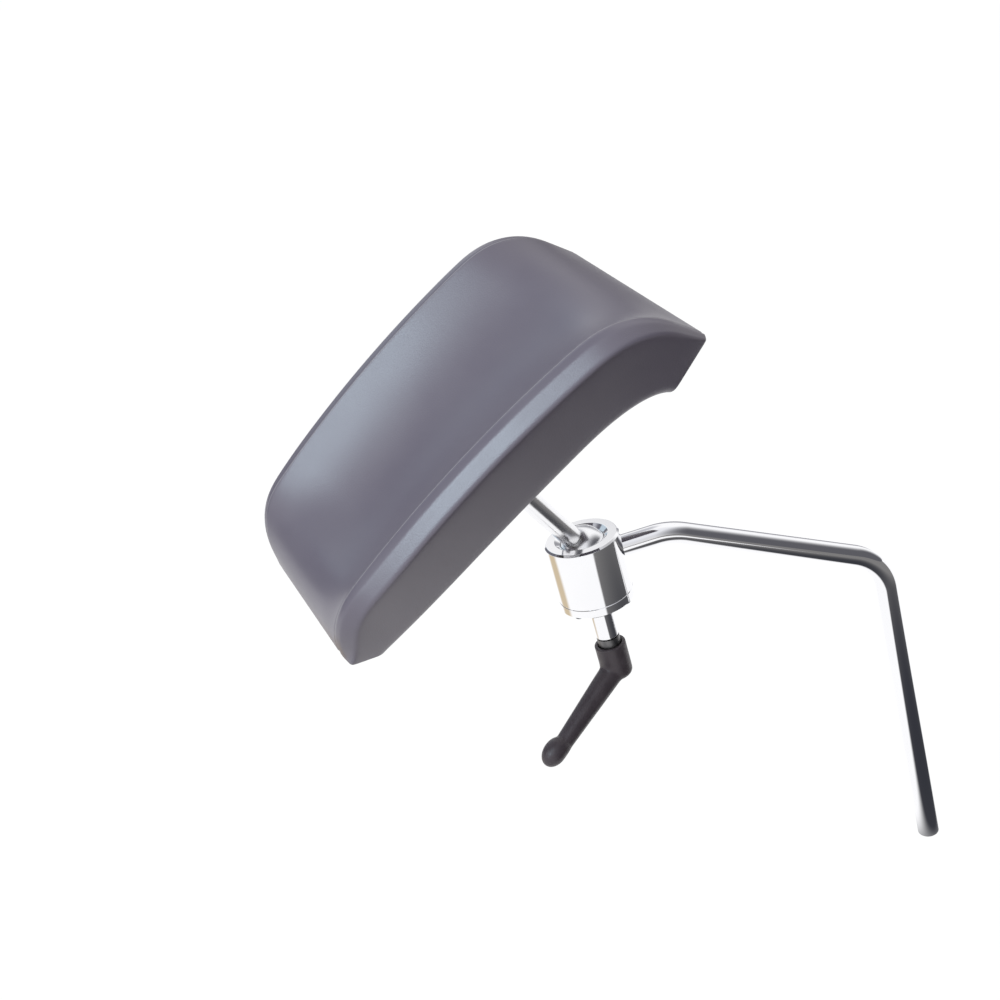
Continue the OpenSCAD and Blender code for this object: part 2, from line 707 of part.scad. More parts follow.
// The spring is a round wire wound around the retaining screw between the web and the screw's head
spring_steps = 16;
spring_sides = 6;
spring_rise = spring_room - spring_wire_d - gap;
function coil_point(i) = let (a = 360 * i / spring_steps, t = i / (spring_turns * spring_steps))
    [spring_r * cos(a), spring_r * sin(a), retainer_head_top + spring_wire_d / 2 + gap / 2 + spring_rise * t];
function coil_ring(i) = let (a = 360 * i / spring_steps, c = coil_point(i))
    [for (j = [0 : spring_sides - 1]) let (b = 360 * j / spring_sides)
        c + spring_wire_d / 2 * [cos(b) * cos(a), cos(b) * sin(a), sin(b)]];
coil_last = spring_turns * spring_steps;
coil_points = [for (i = [0 : coil_last]) each coil_ring(i)];
coil_faces = [for (i = [0 : coil_last - 1]) for (j = [0 : spring_sides - 1]) let (
    a = i * spring_sides + j,
    b = i * spring_sides + (j + 1) % spring_sides
) each [[a, a + spring_sides, b], [b, a + spring_sides, b + spring_sides]]];

module lever_spring() {
    color("silver") in_housing() polyhedron(coil_points, concat(coil_faces,
        [[for (j = [0 : spring_sides - 1]) j],
        [for (j = [spring_sides - 1 : -1 : 0]) coil_last * spring_sides + j]]), convexity = 8);
}

support_rod();
rod_screw();
socket_barrel();
base_collar();
collar_screws();
thread_boss();
seat_liner();
joint_ball();
stem();
stem_screw();
stem_flange();
flange_weld();
pad_plate();
plate_nuts();
pad_screws();
screw_washers();
leg_pad();
pressure_cup();
thrust_washer();
clamp_screw();
lever_insert();
lever_handle();
lever_screw();
lever_spring();
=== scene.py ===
"""Leg support of an examination chair, dressed for its photograph.

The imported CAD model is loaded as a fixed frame. Each sub-assembly is a class that holds its
sizes, models its pieces with edit-mode operators and gives them their finishes. Lengths are
metres and angles are degrees, in the frame of the CAD model.
"""

import logging
import math
from dataclasses import dataclass
from enum import Enum
from typing import Callable, Sequence

import bpy
from mathutils import Matrix, Vector


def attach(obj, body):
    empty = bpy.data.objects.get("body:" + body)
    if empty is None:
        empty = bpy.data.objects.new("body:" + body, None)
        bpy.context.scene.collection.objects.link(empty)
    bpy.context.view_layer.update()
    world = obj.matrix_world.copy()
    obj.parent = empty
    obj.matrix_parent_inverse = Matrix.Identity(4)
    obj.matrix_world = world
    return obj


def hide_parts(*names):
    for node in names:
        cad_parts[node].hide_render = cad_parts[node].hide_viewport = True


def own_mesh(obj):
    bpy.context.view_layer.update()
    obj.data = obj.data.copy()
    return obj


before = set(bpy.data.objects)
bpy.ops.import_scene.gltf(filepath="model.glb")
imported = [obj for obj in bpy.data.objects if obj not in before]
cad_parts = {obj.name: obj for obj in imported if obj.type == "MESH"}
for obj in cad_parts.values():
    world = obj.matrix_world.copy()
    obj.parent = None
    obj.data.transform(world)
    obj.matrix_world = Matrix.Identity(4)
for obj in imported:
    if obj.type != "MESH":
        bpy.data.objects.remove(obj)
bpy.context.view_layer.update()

Triple = tuple[float, float, float]
Colour = Triple
Point = tuple[float, float]
Piece = bpy.types.Object
Material = bpy.types.Material
Node = bpy.types.Node
Socket = bpy.types.NodeSocket
Source = Socket | Colour | float
log = logging.getLogger("leg_support")


class Body(Enum):
    """The bodies of the CAD model that pieces ride on."""

    ROD = "rod"
    BALL = "ball"
    PAD = "pad"
    SCREW = "screw"
    LEVER = "lever"


class Slot(Enum):
    """The record's material slots; pieces are handed one, but their finish comes from the material
    passed with it.
    """

    PAD_SKIN = "pad_skin"
    POLISHED = "polished_steel"
    MACHINED = "machined_steel"
    SCREW = "screw_steel"
    LEVER = "lever_coat"


def turned(axis: str, degrees: float) -> Matrix:
    """Returns the 4x4 turn about a main axis."""
    return Matrix.Rotation(math.radians(degrees), 4, axis)


@dataclass(frozen=True)
class Pose:
    """Where the housing and the stem stand at rest."""

    housing: Vector = Vector((-0.233, 0.0, 0.3766))
    turn: float = 31.0
    lean: float = 30.8
    spin: float = -18.3

    def in_housing(self) -> Matrix:
        """Returns the frame at the ball's centre, with +Z up the housing."""
        return Matrix.Translation(self.housing)

    def on_stem(self) -> Matrix:
        """Returns the frame at the ball's centre, with +Z up the stem."""
        leant = self.in_housing() @ turned("Z", self.turn) @ turned("Y", -self.lean)
        return leant @ turned("Z", self.spin)

    def on_arm(self, height: float, azimuth: float, slope: float) -> Matrix:
        """Places the lever's arm.

        Args:
            height: Height of the arm's root above the ball's centre.
            azimuth: Direction of the arm around the housing.
            slope: Fall of the arm below level.

        Returns:
            The frame at the arm's root, with +Z along the arm.
        """
        place = Matrix.Translation((0.0, 0.0, height))
        return self.in_housing() @ turned("Z", azimuth) @ place @ turned("Y", 90.0 + slope)


class Bench:
    """The steps that are repeated on each piece."""

    @staticmethod
    def clear() -> None:
        """Leaves edit mode and deselects everything."""
        if bpy.context.mode != "OBJECT":
            bpy.ops.object.mode_set(mode="OBJECT")
        bpy.ops.object.select_all(action="DESELECT")

    @classmethod
    def take(cls, piece: Piece) -> None:
        """Selects one piece alone and makes it active."""
        cls.clear()
        piece.select_set(True)
        bpy.context.view_layer.objects.active = piece

    @classmethod
    def edit(cls, piece: Piece, select: Callable[[Vector], bool] | None = None) -> None:
        """Opens a piece in edit mode.

        Args:
            piece: The piece to open.
            select: Says by its place whether a vertex is selected, or None for all of them.
        """
        cls.take(piece)
        bpy.ops.object.mode_set(mode="EDIT")
        bpy.ops.mesh.select_mode(type="VERT")
        bpy.ops.mesh.select_all(action="SELECT" if select is None else "DESELECT")
        if select is not None:
            bpy.ops.object.mode_set(mode="OBJECT")
            for vertex in piece.data.vertices:
                vertex.select = select(vertex.co)
            bpy.ops.object.mode_set(mode="EDIT")

    @classmethod
    def close(cls, piece: Piece, merge: float = 1e-6) -> None:
        """Merges doubled vertices, turns the faces outwards and leaves edit mode."""
        cls.edit(piece)
        bpy.ops.mesh.remove_doubles(threshold=merge)
        bpy.ops.mesh.normals_make_consistent(inside=False)
        bpy.ops.object.mode_set(mode="OBJECT")

    @classmethod
    def lathe(cls, name: str, points: Sequence[Point], solid: bool = True, steps: int = 96) -> Piece:
        """Turns a piece about the Z axis.

        Args:
            name: Name of the piece.
            points: The section as (radius, height) points in order.
            solid: True where the section starts and ends on the axis, False for a ring.
            steps: Number of faces around the piece.

        Returns:
            The closed piece.
        """
        cls.clear()
        bpy.ops.mesh.primitive_circle_add(vertices=len(points), radius=1.0, fill_type="NOTHING")
        piece = bpy.context.active_object
        piece.name = name
        for vertex, (radius, height) in zip(piece.data.vertices, points):
            vertex.co = (radius, 0.0, height)
        if solid:
            ends = [Vector((radius, 0.0, height)) for radius, height in (points[0], points[-1])]
            cls.edit(piece, lambda co: min((co - end).length for end in ends) < 1e-9)
            bpy.ops.mesh.select_mode(type="EDGE")
            bpy.ops.mesh.delete(type="EDGE")
            bpy.ops.object.mode_set(mode="OBJECT")
        cls.edit(piece)
        bpy.ops.mesh.spin(steps=steps, angle=math.tau, center=(0.0, 0.0, 0.0), axis=(0.0, 0.0, 1.0))
        cls.close(piece)
        return piece

    @classmethod
    def soften(cls, piece: Piece, width: float, segments: int = 3, angle: float = 28.0) -> None:
        """Rounds the sharp edges of a piece and shades it smooth.

        Args:
            piece: The piece.
            width: Width of the rounded edge.
            segments: Faces across each rounded edge.
            angle: Edges that turn by more than this are rounded.
        """
        cls.take(piece)
        bpy.ops.object.shade_smooth()
        edges = piece.modifiers.new("edges", "BEVEL")
        edges.width = width
        edges.segments = segments
        edges.limit_method = "ANGLE"
        edges.angle_limit = math.radians(angle)
        edges.harden_normals = True
        bpy.ops.object.modifier_apply(modifier=edges.name)

    @classmethod
    def smooth(cls, piece: Piece, angle: float = 30.0) -> None:
        """Shades a piece smooth, but for edges sharper than the angle."""
        cls.take(piece)
        bpy.ops.object.shade_smooth_by_angle(angle=math.radians(angle))

    @classmethod
    def seat(cls, piece: Piece, place: Matrix) -> None:
        """Puts a piece in its place and applies that place to its mesh."""
        cls.take(piece)
        piece.matrix_world = place @ piece.matrix_world
        bpy.ops.object.transform_apply(location=True, rotation=True, scale=True)

    @classmethod
    def combine(cls, piece: Piece, tool: Piece, operation: str = "DIFFERENCE") -> None:
        """Cuts a tool from a piece, or joins it on, and removes the tool."""
        cls.take(piece)
        step = piece.modifiers.new("step", "BOOLEAN")
        step.operation = operation
        step.solver = "EXACT"
        step.object = tool
        bpy.ops.object.modifier_apply(modifier=step.name)
        bpy.data.objects.remove(tool)

    @classmethod
    def drill(
        cls, piece: Piece, radius: float, low: float, high: float, at: Point = (0.0, 0.0)
    ) -> None:
        """Drills a round hole along Z between two heights."""
        cls.clear()
        middle = (at[0], at[1], (low + high) / 2)
        bpy.ops.mesh.primitive_cylinder_add(
            vertices=64, radius=radius, depth=high - low, location=middle
        )
        cls.combine(piece, bpy.context.active_object)

    @classmethod
    def copies(cls, piece: Piece, places: Sequence[Matrix], name: str) -> Piece:
        """Copies a piece to several places and joins the copies.

        Args:
            piece: The pattern piece, which is removed.
            places: One frame for each copy.
            name: Name of the joined piece.

        Returns:
            The joined copies.
        """
        made = []
        for place in places:
            cls.take(piece)
            bpy.ops.object.duplicate(linked=False)
            copy = bpy.context.active_object
            cls.seat(copy, place)
            made.append(copy)
        bpy.data.objects.remove(piece)
        cls.clear()
        for copy in made:
            copy.select_set(True)
        bpy.context.view_layer.objects.active = made[0]
        bpy.ops.object.join()
        made[0].name = name
        return made[0]

    @classmethod
    def hand_over(cls, piece: Piece, material: Material, body: Body, slot: Slot, *nodes: str) -> None:
        """Gives a finished piece its material and ties it to the frame.

        Args:
            piece: The piece.
            material: Its finish.
            body: The body that it rides on.
            slot: The record's slot for its finish; not used.
            nodes: The CAD nodes that it stands for.
        """
        piece.data.materials.clear()
        piece.data.materials.append(material)
        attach(piece, body.value)
        if nodes:
            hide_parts(*nodes)
        log.info("%s rides on %s, %d faces", piece.name, body.value, len(piece.data.polygons))


class Tree:
    """A shader node tree, with short calls for its steps."""

    def __init__(self, tree: bpy.types.NodeTree) -> None:
        """Takes a tree over and empties it."""
        self.tree = tree
        self.tree.nodes.clear()

    def add(self, kind: str, **settings: object) -> Node:
        """Adds a node and sets its own properties."""
        node = self.tree.nodes.new(kind)
        for key, value in settings.items():
            setattr(node, key, value)
        return node

    def feed(self, source: Source, target: Socket) -> None:
        """Links a socket to an input, or sets the input to a colour or a number."""
        if isinstance(source, Socket):
            self.tree.links.new(source, target)
        else:
            target.default_value = (*source, 1.0) if isinstance(source, tuple) else source

    def level(
        self, source: Source, low: float, high: float, to_low: float = 0.0, to_high: float = 1.0
    ) -> Socket:
        """Maps a range of values smoothly to another."""
        node = self.add("ShaderNodeMapRange", interpolation_type="SMOOTHSTEP")
        names = ("Value", "From Min", "From Max", "To Min", "To Max")
        for name, value in zip(names, (source, low, high, to_low, to_high)):
            self.feed(value, node.inputs[name])
        return node.outputs["Result"]

    def maths(self, operation: str, first: Source, second: Source = 0.0) -> Socket:
        """Joins two values by a Math operation."""
        node = self.add("ShaderNodeMath", operation=operation)
        self.feed(first, node.inputs[0])
        self.feed(second, node.inputs[1])
        return node.outputs[0]

    def mixed(self, share: Source, low: Source, high: Source) -> Socket:
        """Gives a colour between two colours by a share."""
        node = self.add("ShaderNodeMix", data_type="RGBA")
        for source, socket in zip((share, low, high), (node.inputs[0], node.inputs[6], node.inputs[7])):
            self.feed(source, socket)
        return node.outputs[2]

    def axes(self, place: Socket) -> tuple[Socket, ...]:
        """Splits a place into its three coordinates."""
        node = self.add("ShaderNodeSeparateXYZ")
        self.feed(place, node.inputs[0])
        return tuple(node.outputs)


class Recipe(Tree):
    """A material on one shader."""

    def __init__(self, name: str, colour: Colour, roughness: float, metallic: float = 0.0) -> None:
        """Starts a material with a shader and its plain values."""
        self.material = bpy.data.materials.new(name)
        self.material.use_nodes = True
        self.material.diffuse_color = (*colour, 1.0)
        super().__init__(self.material.node_tree)
        self.shader = self.add("ShaderNodeBsdfPrincipled")
        self.output = self.add("ShaderNodeOutputMaterial").inputs[0]
        self.feed(self.shader.outputs[0], self.output)
        self.feed(colour, self.shader.inputs["Base Color"])
        self.feed(roughness, self.shader.inputs["Roughness"])
        self.feed(metallic, self.shader.inputs["Metallic"])

    def place(self, frame_on: Matrix | None = None, scale: Triple = (1.0, 1.0, 1.0)) -> Socket:
        """Gives Object coordinates.

        Args:
            frame_on: The frame that they are measured in, where it isn't the CAD model's.
            scale: Share of each coordinate, below 1 to draw a pattern out along it.

        Returns:
            The coordinates.
        """
        place = self.add("ShaderNodeTexCoord").outputs["Object"]
        if frame_on is not None:
            back = frame_on.inverted()
            turn, shift = back.to_euler("XYZ"), back.to_translation()
            place = self._mapped(place, Location=shift, Rotation=turn)
        if scale != (1.0, 1.0, 1.0):
            place = self._mapped(place, Scale=scale)
        return place

    def _mapped(self, place: Socket, **values: Sequence[float]) -> Socket:
        """Moves, turns or scales coordinates."""
        node = self.add("ShaderNodeMapping")
        for name, value in values.items():
            node.inputs[name].default_value = value
        self.feed(place, node.inputs["Vector"])
        return node.outputs[0]

    def noise(self, place: Socket, scale: float, detail: float = 3.0, rough: float = 0.5) -> Socket:
        """Gives a noise from 0 to 1 with that many lumps in a metre."""
        node = self.add("ShaderNodeTexNoise")
        values = {"Vector": place, "Scale": scale, "Detail": detail, "Roughness": rough}
        for name, value in values.items():
            self.feed(value, node.inputs[name])
        return node.outputs["Fac"]

    def grain(self, place: Socket, scale: float) -> Socket:
        """Gives the distances of a cell pattern."""
        node = self.add("ShaderNodeTexVoronoi", feature="F1")
        self.feed(place, node.inputs["Vector"])
        self.feed(scale, node.inputs["Scale"])
        return node.outputs["Distance"]

    def tint(self, share: Socket, low: Source, high: Source) -> None:
        """Colours the shader between two colours by a share."""
        self.feed(self.mixed(share, low, high), self.shader.inputs["Base Color"])

    def sheen(self, share: Socket, low: float, high: float) -> None:
        """Varies the shader's roughness between two values."""
        self.feed(self.level(share, 0.3, 0.7, low, high), self.shader.inputs["Roughness"])

    def relief(self, *layers: tuple[Socket, float]) -> None:
        """Adds bumps, each a height from 0 to 1 and its depth in metres."""
        targets = []
        for height, depth in layers:
            bump = self.add("ShaderNodeBump")
            self.feed(depth, bump.inputs["Distance"])
            self.feed(height, bump.inputs["Height"])
            if targets:
                self.feed(targets[-1], bump.inputs["Normal"])
            targets.append(bump.outputs[0])
        self.feed(targets[-1], self.shader.inputs["Normal"])


@dataclass(frozen=True)
class PadSkin:
    """Satin integral skin of moulded polyurethane foam, with its parting line painted lighter: partly
    rubbed skin, partly a painted highlight.
    """

    colour: Colour = (0.167, 0.136, 0.169)
    worn_and_highlight: Colour = (0.42, 0.37, 0.37)
    roughness: float = 0.36
    parting: str = "parting_line"

    def make(self) -> Material:
        """Returns the material."""
        recipe = Recipe("pad_skin_satin", self.colour, self.roughness)
        place = recipe.place()
        cloud = recipe.noise(place, 14.0, 3.0, 0.55)
        fine = recipe.noise(place, 900.0, 2.0, 0.5)
        pores = recipe.grain(place, 1500.0)
        line = recipe.add("ShaderNodeAttribute", attribute_name=self.parting, attribute_type="GEOMETRY")
        # The parting line is painted lighter: partly rubbed skin, partly a painted highlight on the
        # ridge's bead.
        wear = recipe.maths("MULTIPLY", recipe.level(line.outputs["Fac"], 0.1, 1.0), 0.8)
        share = recipe.maths("ADD", wear, recipe.level(cloud, 0.3, 0.7, 0.0, 0.05))
        recipe.tint(share, self.colour, self.worn_and_highlight)
        recipe.sheen(recipe.maths("ADD", cloud, recipe.level(fine, 0.2, 0.8, -0.1, 0.1)), 0.34, 0.40)
        recipe.relief((recipe.level(fine, 0.2, 0.8), 0.00004), (pores, 0.00002))
        recipe.shader.inputs["Specular IOR Level"].default_value = 0.7
        return recipe.material


@dataclass(frozen=True)
class PolishedSteel:
    """Polished stainless steel with faint wiping marks."""

    name: str = "polished_steel_mirror"
    colour: Colour = (0.88, 0.88, 0.89)
    roughness: float = 0.04

    def make(self) -> Material:
        """Returns the material."""
        recipe = Recipe(self.name, self.colour, self.roughness, 1.0)
        place = recipe.place()
        wipe = recipe.noise(place, 60.0, 4.0, 0.6)
        haze = recipe.noise(place, 9.0, 2.0, 0.5)
        recipe.tint(recipe.level(haze, 0.35, 0.7), self.colour, (0.85, 0.85, 0.865))
        recipe.sheen(wipe, self.roughness, self.roughness + 0.05)
        recipe.relief((recipe.noise(recipe.place(scale=(1.0, 1.0, 0.15)), 260.0, 2.0), 0.000004))
        return recipe.material


@dataclass(frozen=True)
class TurnedSteel:
    """Lathe-turned steel with fine rings about an axis."""

    name: str
    on: Matrix
    colour: Colour = (0.56, 0.56, 0.575)
    roughness: float = 0.28
    ring_pitch: float = 0.0009
    depth: float = 0.000012

    def make(self) -> Material:
        """Returns the material."""
        recipe = Recipe(self.name, self.colour, self.roughness, 1.0)
        place = recipe.place(self.on)
        x, y, z = recipe.axes(place)
        squares = recipe.maths("ADD", recipe.maths("POWER", x, 2.0), recipe.maths("POWER", y, 2.0))
        run = recipe.maths("ADD", recipe.maths("SQRT", squares), z)
        waves = recipe.maths("SINE", recipe.maths("MULTIPLY", run, math.tau / self.ring_pitch))
        stain = recipe.noise(place, 45.0, 4.0, 0.6)
        dark = tuple(0.86 * c for c in self.colour)
        recipe.tint(recipe.level(stain, 0.3, 0.75), dark, self.colour)
        recipe.sheen(stain, self.roughness - 0.05, self.roughness + 0.08)
        recipe.relief((recipe.level(waves, -1.0, 1.0), self.depth))
        return recipe.material


@dataclass(frozen=True)
class ThreadedSteel:
    """Rolled thread about an axis, as fine helical relief, with painted shade in its roots."""

    name: str
    on: Matrix
    pitch: float
    colour: Colour = (0.50, 0.50, 0.52)

    def make(self) -> Material:
        """Returns the material."""
        recipe = Recipe(self.name, self.colour, 0.3, 1.0)
        place = recipe.place(self.on)
        x, y, z = recipe.axes(place)
        turn = recipe.maths("ARCTAN2", y, x)
        climb = recipe.maths("MULTIPLY", z, math.tau / self.pitch)
        crest = recipe.maths("SINE", recipe.maths("SUBTRACT", climb, turn))
        # The thread's roots are painted darker than its crests: painted shade in the grooves.
        recipe.tint(recipe.level(crest, -0.9, 0.6), tuple(0.35 * c for c in self.colour), self.colour)
        recipe.sheen(recipe.noise(place, 300.0), 0.26, 0.36)
        recipe.relief((recipe.level(crest, -1.0, 1.0), 0.25 * self.pitch))
        return recipe.material


@dataclass(frozen=True)
class ZincSteel:
    """Zinc-plated fasteners with a cloudy, slightly blue finish."""

    colour: Colour = (0.42, 0.43, 0.45)

    def make(self) -> Material:
        """Returns the material."""
        recipe = Recipe("zinc_plated_steel", self.colour, 0.32, 1.0)
        place = recipe.place()
        cloud = recipe.noise(place, 220.0, 5.0, 0.65)
        recipe.tint(recipe.level(cloud, 0.3, 0.7), (0.30, 0.315, 0.34), self.colour)
        recipe.sheen(cloud, 0.24, 0.42)
        recipe.relief((recipe.noise(place, 1800.0, 2.0), 0.000012))
        return recipe.material


@dataclass(frozen=True)
class BurnishedSteel:
    """Dark burnished steel of the lever's insert, with turning rings."""

    colour: Colour = (0.19, 0.185, 0.187)

    def make(self) -> Material:
        """Returns the material."""
        recipe = Recipe("burnished_steel_dark", self.colour, 0.34, 0.9)
        place = recipe.place()
        cloud = recipe.noise(place, 260.0, 4.0, 0.6)
        rings = recipe.noise(recipe.place(scale=(0.02, 0.02, 1.0)), 2600.0, 1.0)
        recipe.tint(recipe.level(cloud, 0.3, 0.7), (0.13, 0.128, 0.13), self.colour)
        recipe.sheen(cloud, 0.28, 0.42)
        recipe.relief((rings, 0.000014))
        return recipe.material


@dataclass(frozen=True)
class LeverCoat:
    """Fine-textured black powder coat on die-cast zinc."""

    colour: Colour = (0.070, 0.051, 0.060)

    def make(self) -> Material:
        """Returns the material."""
        recipe = Recipe("lever_powder_coat", self.colour, 0.42)
        place = recipe.place()
        orange = recipe.noise(place, 1300.0, 3.0, 0.55)
        specks = recipe.grain(place, 2100.0)
        wear = recipe.noise(place, 70.0, 3.0, 0.5)
        recipe.tint(recipe.level(wear, 0.35, 0.75), self.colour, (0.084, 0.063, 0.072))
        recipe.sheen(wear, 0.36, 0.46)
        recipe.relief((recipe.level(orange, 0.25, 0.75), 0.00006), (specks, 0.00003))
        return recipe.material


@dataclass(frozen=True)
class Acetal:
    """Natural acetal of the guide ring, faintly translucent and waxy."""

    colour: Colour = (0.80, 0.78, 0.70)

    def make(self) -> Material:
        """Returns the material."""
        recipe = Recipe("acetal_natural", self.colour, 0.36)
        place = recipe.place()
        cloud = recipe.noise(place, 120.0, 3.0)
        recipe.tint(recipe.level(cloud, 0.3, 0.7), (0.72, 0.70, 0.62), self.colour)
        recipe.sheen(cloud, 0.30, 0.42)
        recipe.relief((recipe.noise(recipe.place(scale=(0.05, 0.05, 1.0)), 1800.0, 1.0), 0.00001))
        return recipe.material


@dataclass(frozen=True)
class Bronze:
    """Sintered bronze with open pores."""

    colour: Colour = (0.60, 0.38, 0.17)

    def make(self) -> Material:
        """Returns the material."""
        recipe = Recipe("sintered_bronze", self.colour, 0.40, 1.0)
        place = recipe.place()
        pores = recipe.grain(place, 1700.0)
        recipe.tint(recipe.level(pores, 0.1, 0.5), (0.24, 0.14, 0.06), self.colour)
        recipe.sheen(recipe.noise(place, 200.0), 0.34, 0.5)
        recipe.relief((recipe.level(pores, 0.05, 0.4), 0.00004))
        return recipe.material


@dataclass(frozen=True)
class Plywood:
    """Film-faced birch plywood: dark film on its faces and plies along its edges."""

    on: Matrix
    colour: Colour = (0.58, 0.39, 0.21)
    film: Colour = (0.055, 0.045, 0.042)
    ply: float = 0.0016
    thick: float = 0.008
    film_t: float = 0.0003

    def make(self) -> Material:
        """Returns the material."""
        recipe = Recipe("birch_plywood", self.colour, 0.55)
        place = recipe.place(self.on)
        along = recipe.place(self.on, (0.06, 1.0, 1.0))
        fibre, figure = recipe.noise(along, 420.0, 4.0, 0.6), recipe.noise(along, 60.0, 2.0, 0.5)
        height = recipe.axes(place)[2]
        plies = recipe.maths("SINE", recipe.maths("MULTIPLY", height, math.pi / self.ply))
        figured = recipe.level(figure, 0.3, 0.7, 0.0, 0.35)
        share = recipe.maths("ADD", recipe.level(fibre, 0.25, 0.75, 0.0, 0.4), figured)
        share = recipe.maths("ADD", share, recipe.level(plies, -0.4, 0.4, 0.0, 0.25))
        depth = recipe.maths("ABSOLUTE", recipe.maths("SUBTRACT", height, self.thick / 2))
        skin = self.thick / 2 - self.film_t
        faced = recipe.level(depth, skin - 0.0002, skin)
        recipe.tint(faced, recipe.mixed(share, (0.40, 0.24, 0.11), (0.66, 0.47, 0.28)), self.film)
        recipe.sheen(fibre, 0.50, 0.65)
        recipe.relief((fibre, 0.00005))
        return recipe.material


@dataclass(frozen=True)
class WeldBead:
    """Stainless weld metal with heat colours and fine ripples."""

    on: Matrix
    colour: Colour = (0.42, 0.40, 0.38)

    def make(self) -> Material:
        """Returns the material."""
        recipe = Recipe("weld_bead", self.colour, 0.36, 1.0)
        place = recipe.place(self.on)
        heat = recipe.noise(place, 160.0, 3.0)
        recipe.tint(recipe.level(heat, 0.3, 0.7), (0.30, 0.24, 0.20), self.colour)
        recipe.sheen(heat, 0.3, 0.48)
        recipe.relief((recipe.noise(place, 900.0, 2.0), 0.00004))
        return recipe.material


@dataclass
class SupportRod:
    """The bent round rod, from its free end to its seat in the housing."""

    radius: float = 0.009
    chamfer: float = 0.001
    corner: float = 0.285
    run_reach: float = 0.165
    run_rise: float = 0.084
    lower_bend_r: float = 0.042
    upper_bend_r: float = 0.055
    seat: float = 0.206
    edge: float = 0.0003
    steps: int = 96
    bend_steps: tuple[int, int] = (36, 18)
    straight_steps: tuple[int, int, int] = (12, 8, 4)

    def build(self, finish: Material) -> None:
        """Draws the rod's round section along its straights and bends."""
        slope = math.atan2(self.run_rise, self.run_reach)
        bend = math.pi / 2 - slope
        low = self.lower_bend_r * math.tan(bend / 2)
        high = self.upper_bend_r * math.tan(slope / 2)
        run = math.hypot(self.run_reach, self.run_rise) - low - high
        top = self.corner + self.run_rise
        face_r = self.radius - self.chamfer
        Bench.clear()
        bpy.ops.mesh.primitive_circle_add(
            vertices=self.steps, radius=face_r, fill_type="NOTHING", location=(0, 0, -self.chamfer)
        )
        piece = bpy.context.active_object
        piece.name = "bent_rod"
        bpy.ops.object.mode_set(mode="EDIT")
        bpy.ops.mesh.select_all(action="SELECT")
        bpy.ops.mesh.extrude_region_move(TRANSFORM_OT_translate={"value": (0.0, 0.0, self.chamfer)})
        grow = self.radius / face_r
        bpy.ops.transform.resize(value=(grow, grow, 1.0), center_override=(0.0, 0.0, 0.0))
        straights = (
            (0.0, 0.0, self.corner - low),
            (-run * math.cos(slope), 0.0, run * math.sin(slope)),
            (-(self.seat - self.run_reach - high), 0.0, 0.0),
        )
        bends = (
            (bend, (-self.lower_bend_r, 0.0, self.corner - low)),
            (slope, (-self.run_reach - high, 0.0, top - self.upper_bend_r)),
        )
        self._draw(straights[0], self.straight_steps[0])
        for i, (angle, centre) in enumerate(bends):
            bpy.ops.mesh.spin(steps=self.bend_steps[i], angle=angle, center=centre, axis=(0.0, 1.0, 0.0))
            self._draw(straights[i + 1], self.straight_steps[i + 1])
        bpy.ops.mesh.edge_face_add()
        bpy.ops.object.mode_set(mode="OBJECT")
        Bench.edit(piece, lambda co: co.z < -0.9 * self.chamfer)
        bpy.ops.mesh.edge_face_add()
        Bench.close(piece)
        Bench.soften(piece, self.edge, 2, 20.0)
        Bench.hand_over(piece, finish, Body.ROD, Slot.POLISHED, "support_rod")

    @staticmethod
    def _draw(step: Triple, count: int) -> None:
        """Extrudes the open end along a straight in equal lengths."""
        part = tuple(value / count for value in step)
        for _ in range(count):
            bpy.ops.mesh.extrude_region_move(TRANSFORM_OT_translate={"value": part})


def quarters(radius: float) -> list[Point]:
    """Returns four places on a circle, halfway between the main directions."""
    angles = [math.radians(45.0 + 90.0 * i) for i in range(4)]
    return [(radius * math.cos(a), radius * math.sin(a)) for a in angles]


def arc(centre: Point, radius: float, start: float, end: float, count: int) -> list[Point]:
    """Returns points of an arc, with angles in degrees from the +radius direction."""
    angles = [math.radians(start + (end - start) * i / count) for i in range(count + 1)]
    return [(centre[0] + radius * math.cos(a), centre[1] + radius * math.sin(a)) for a in angles]


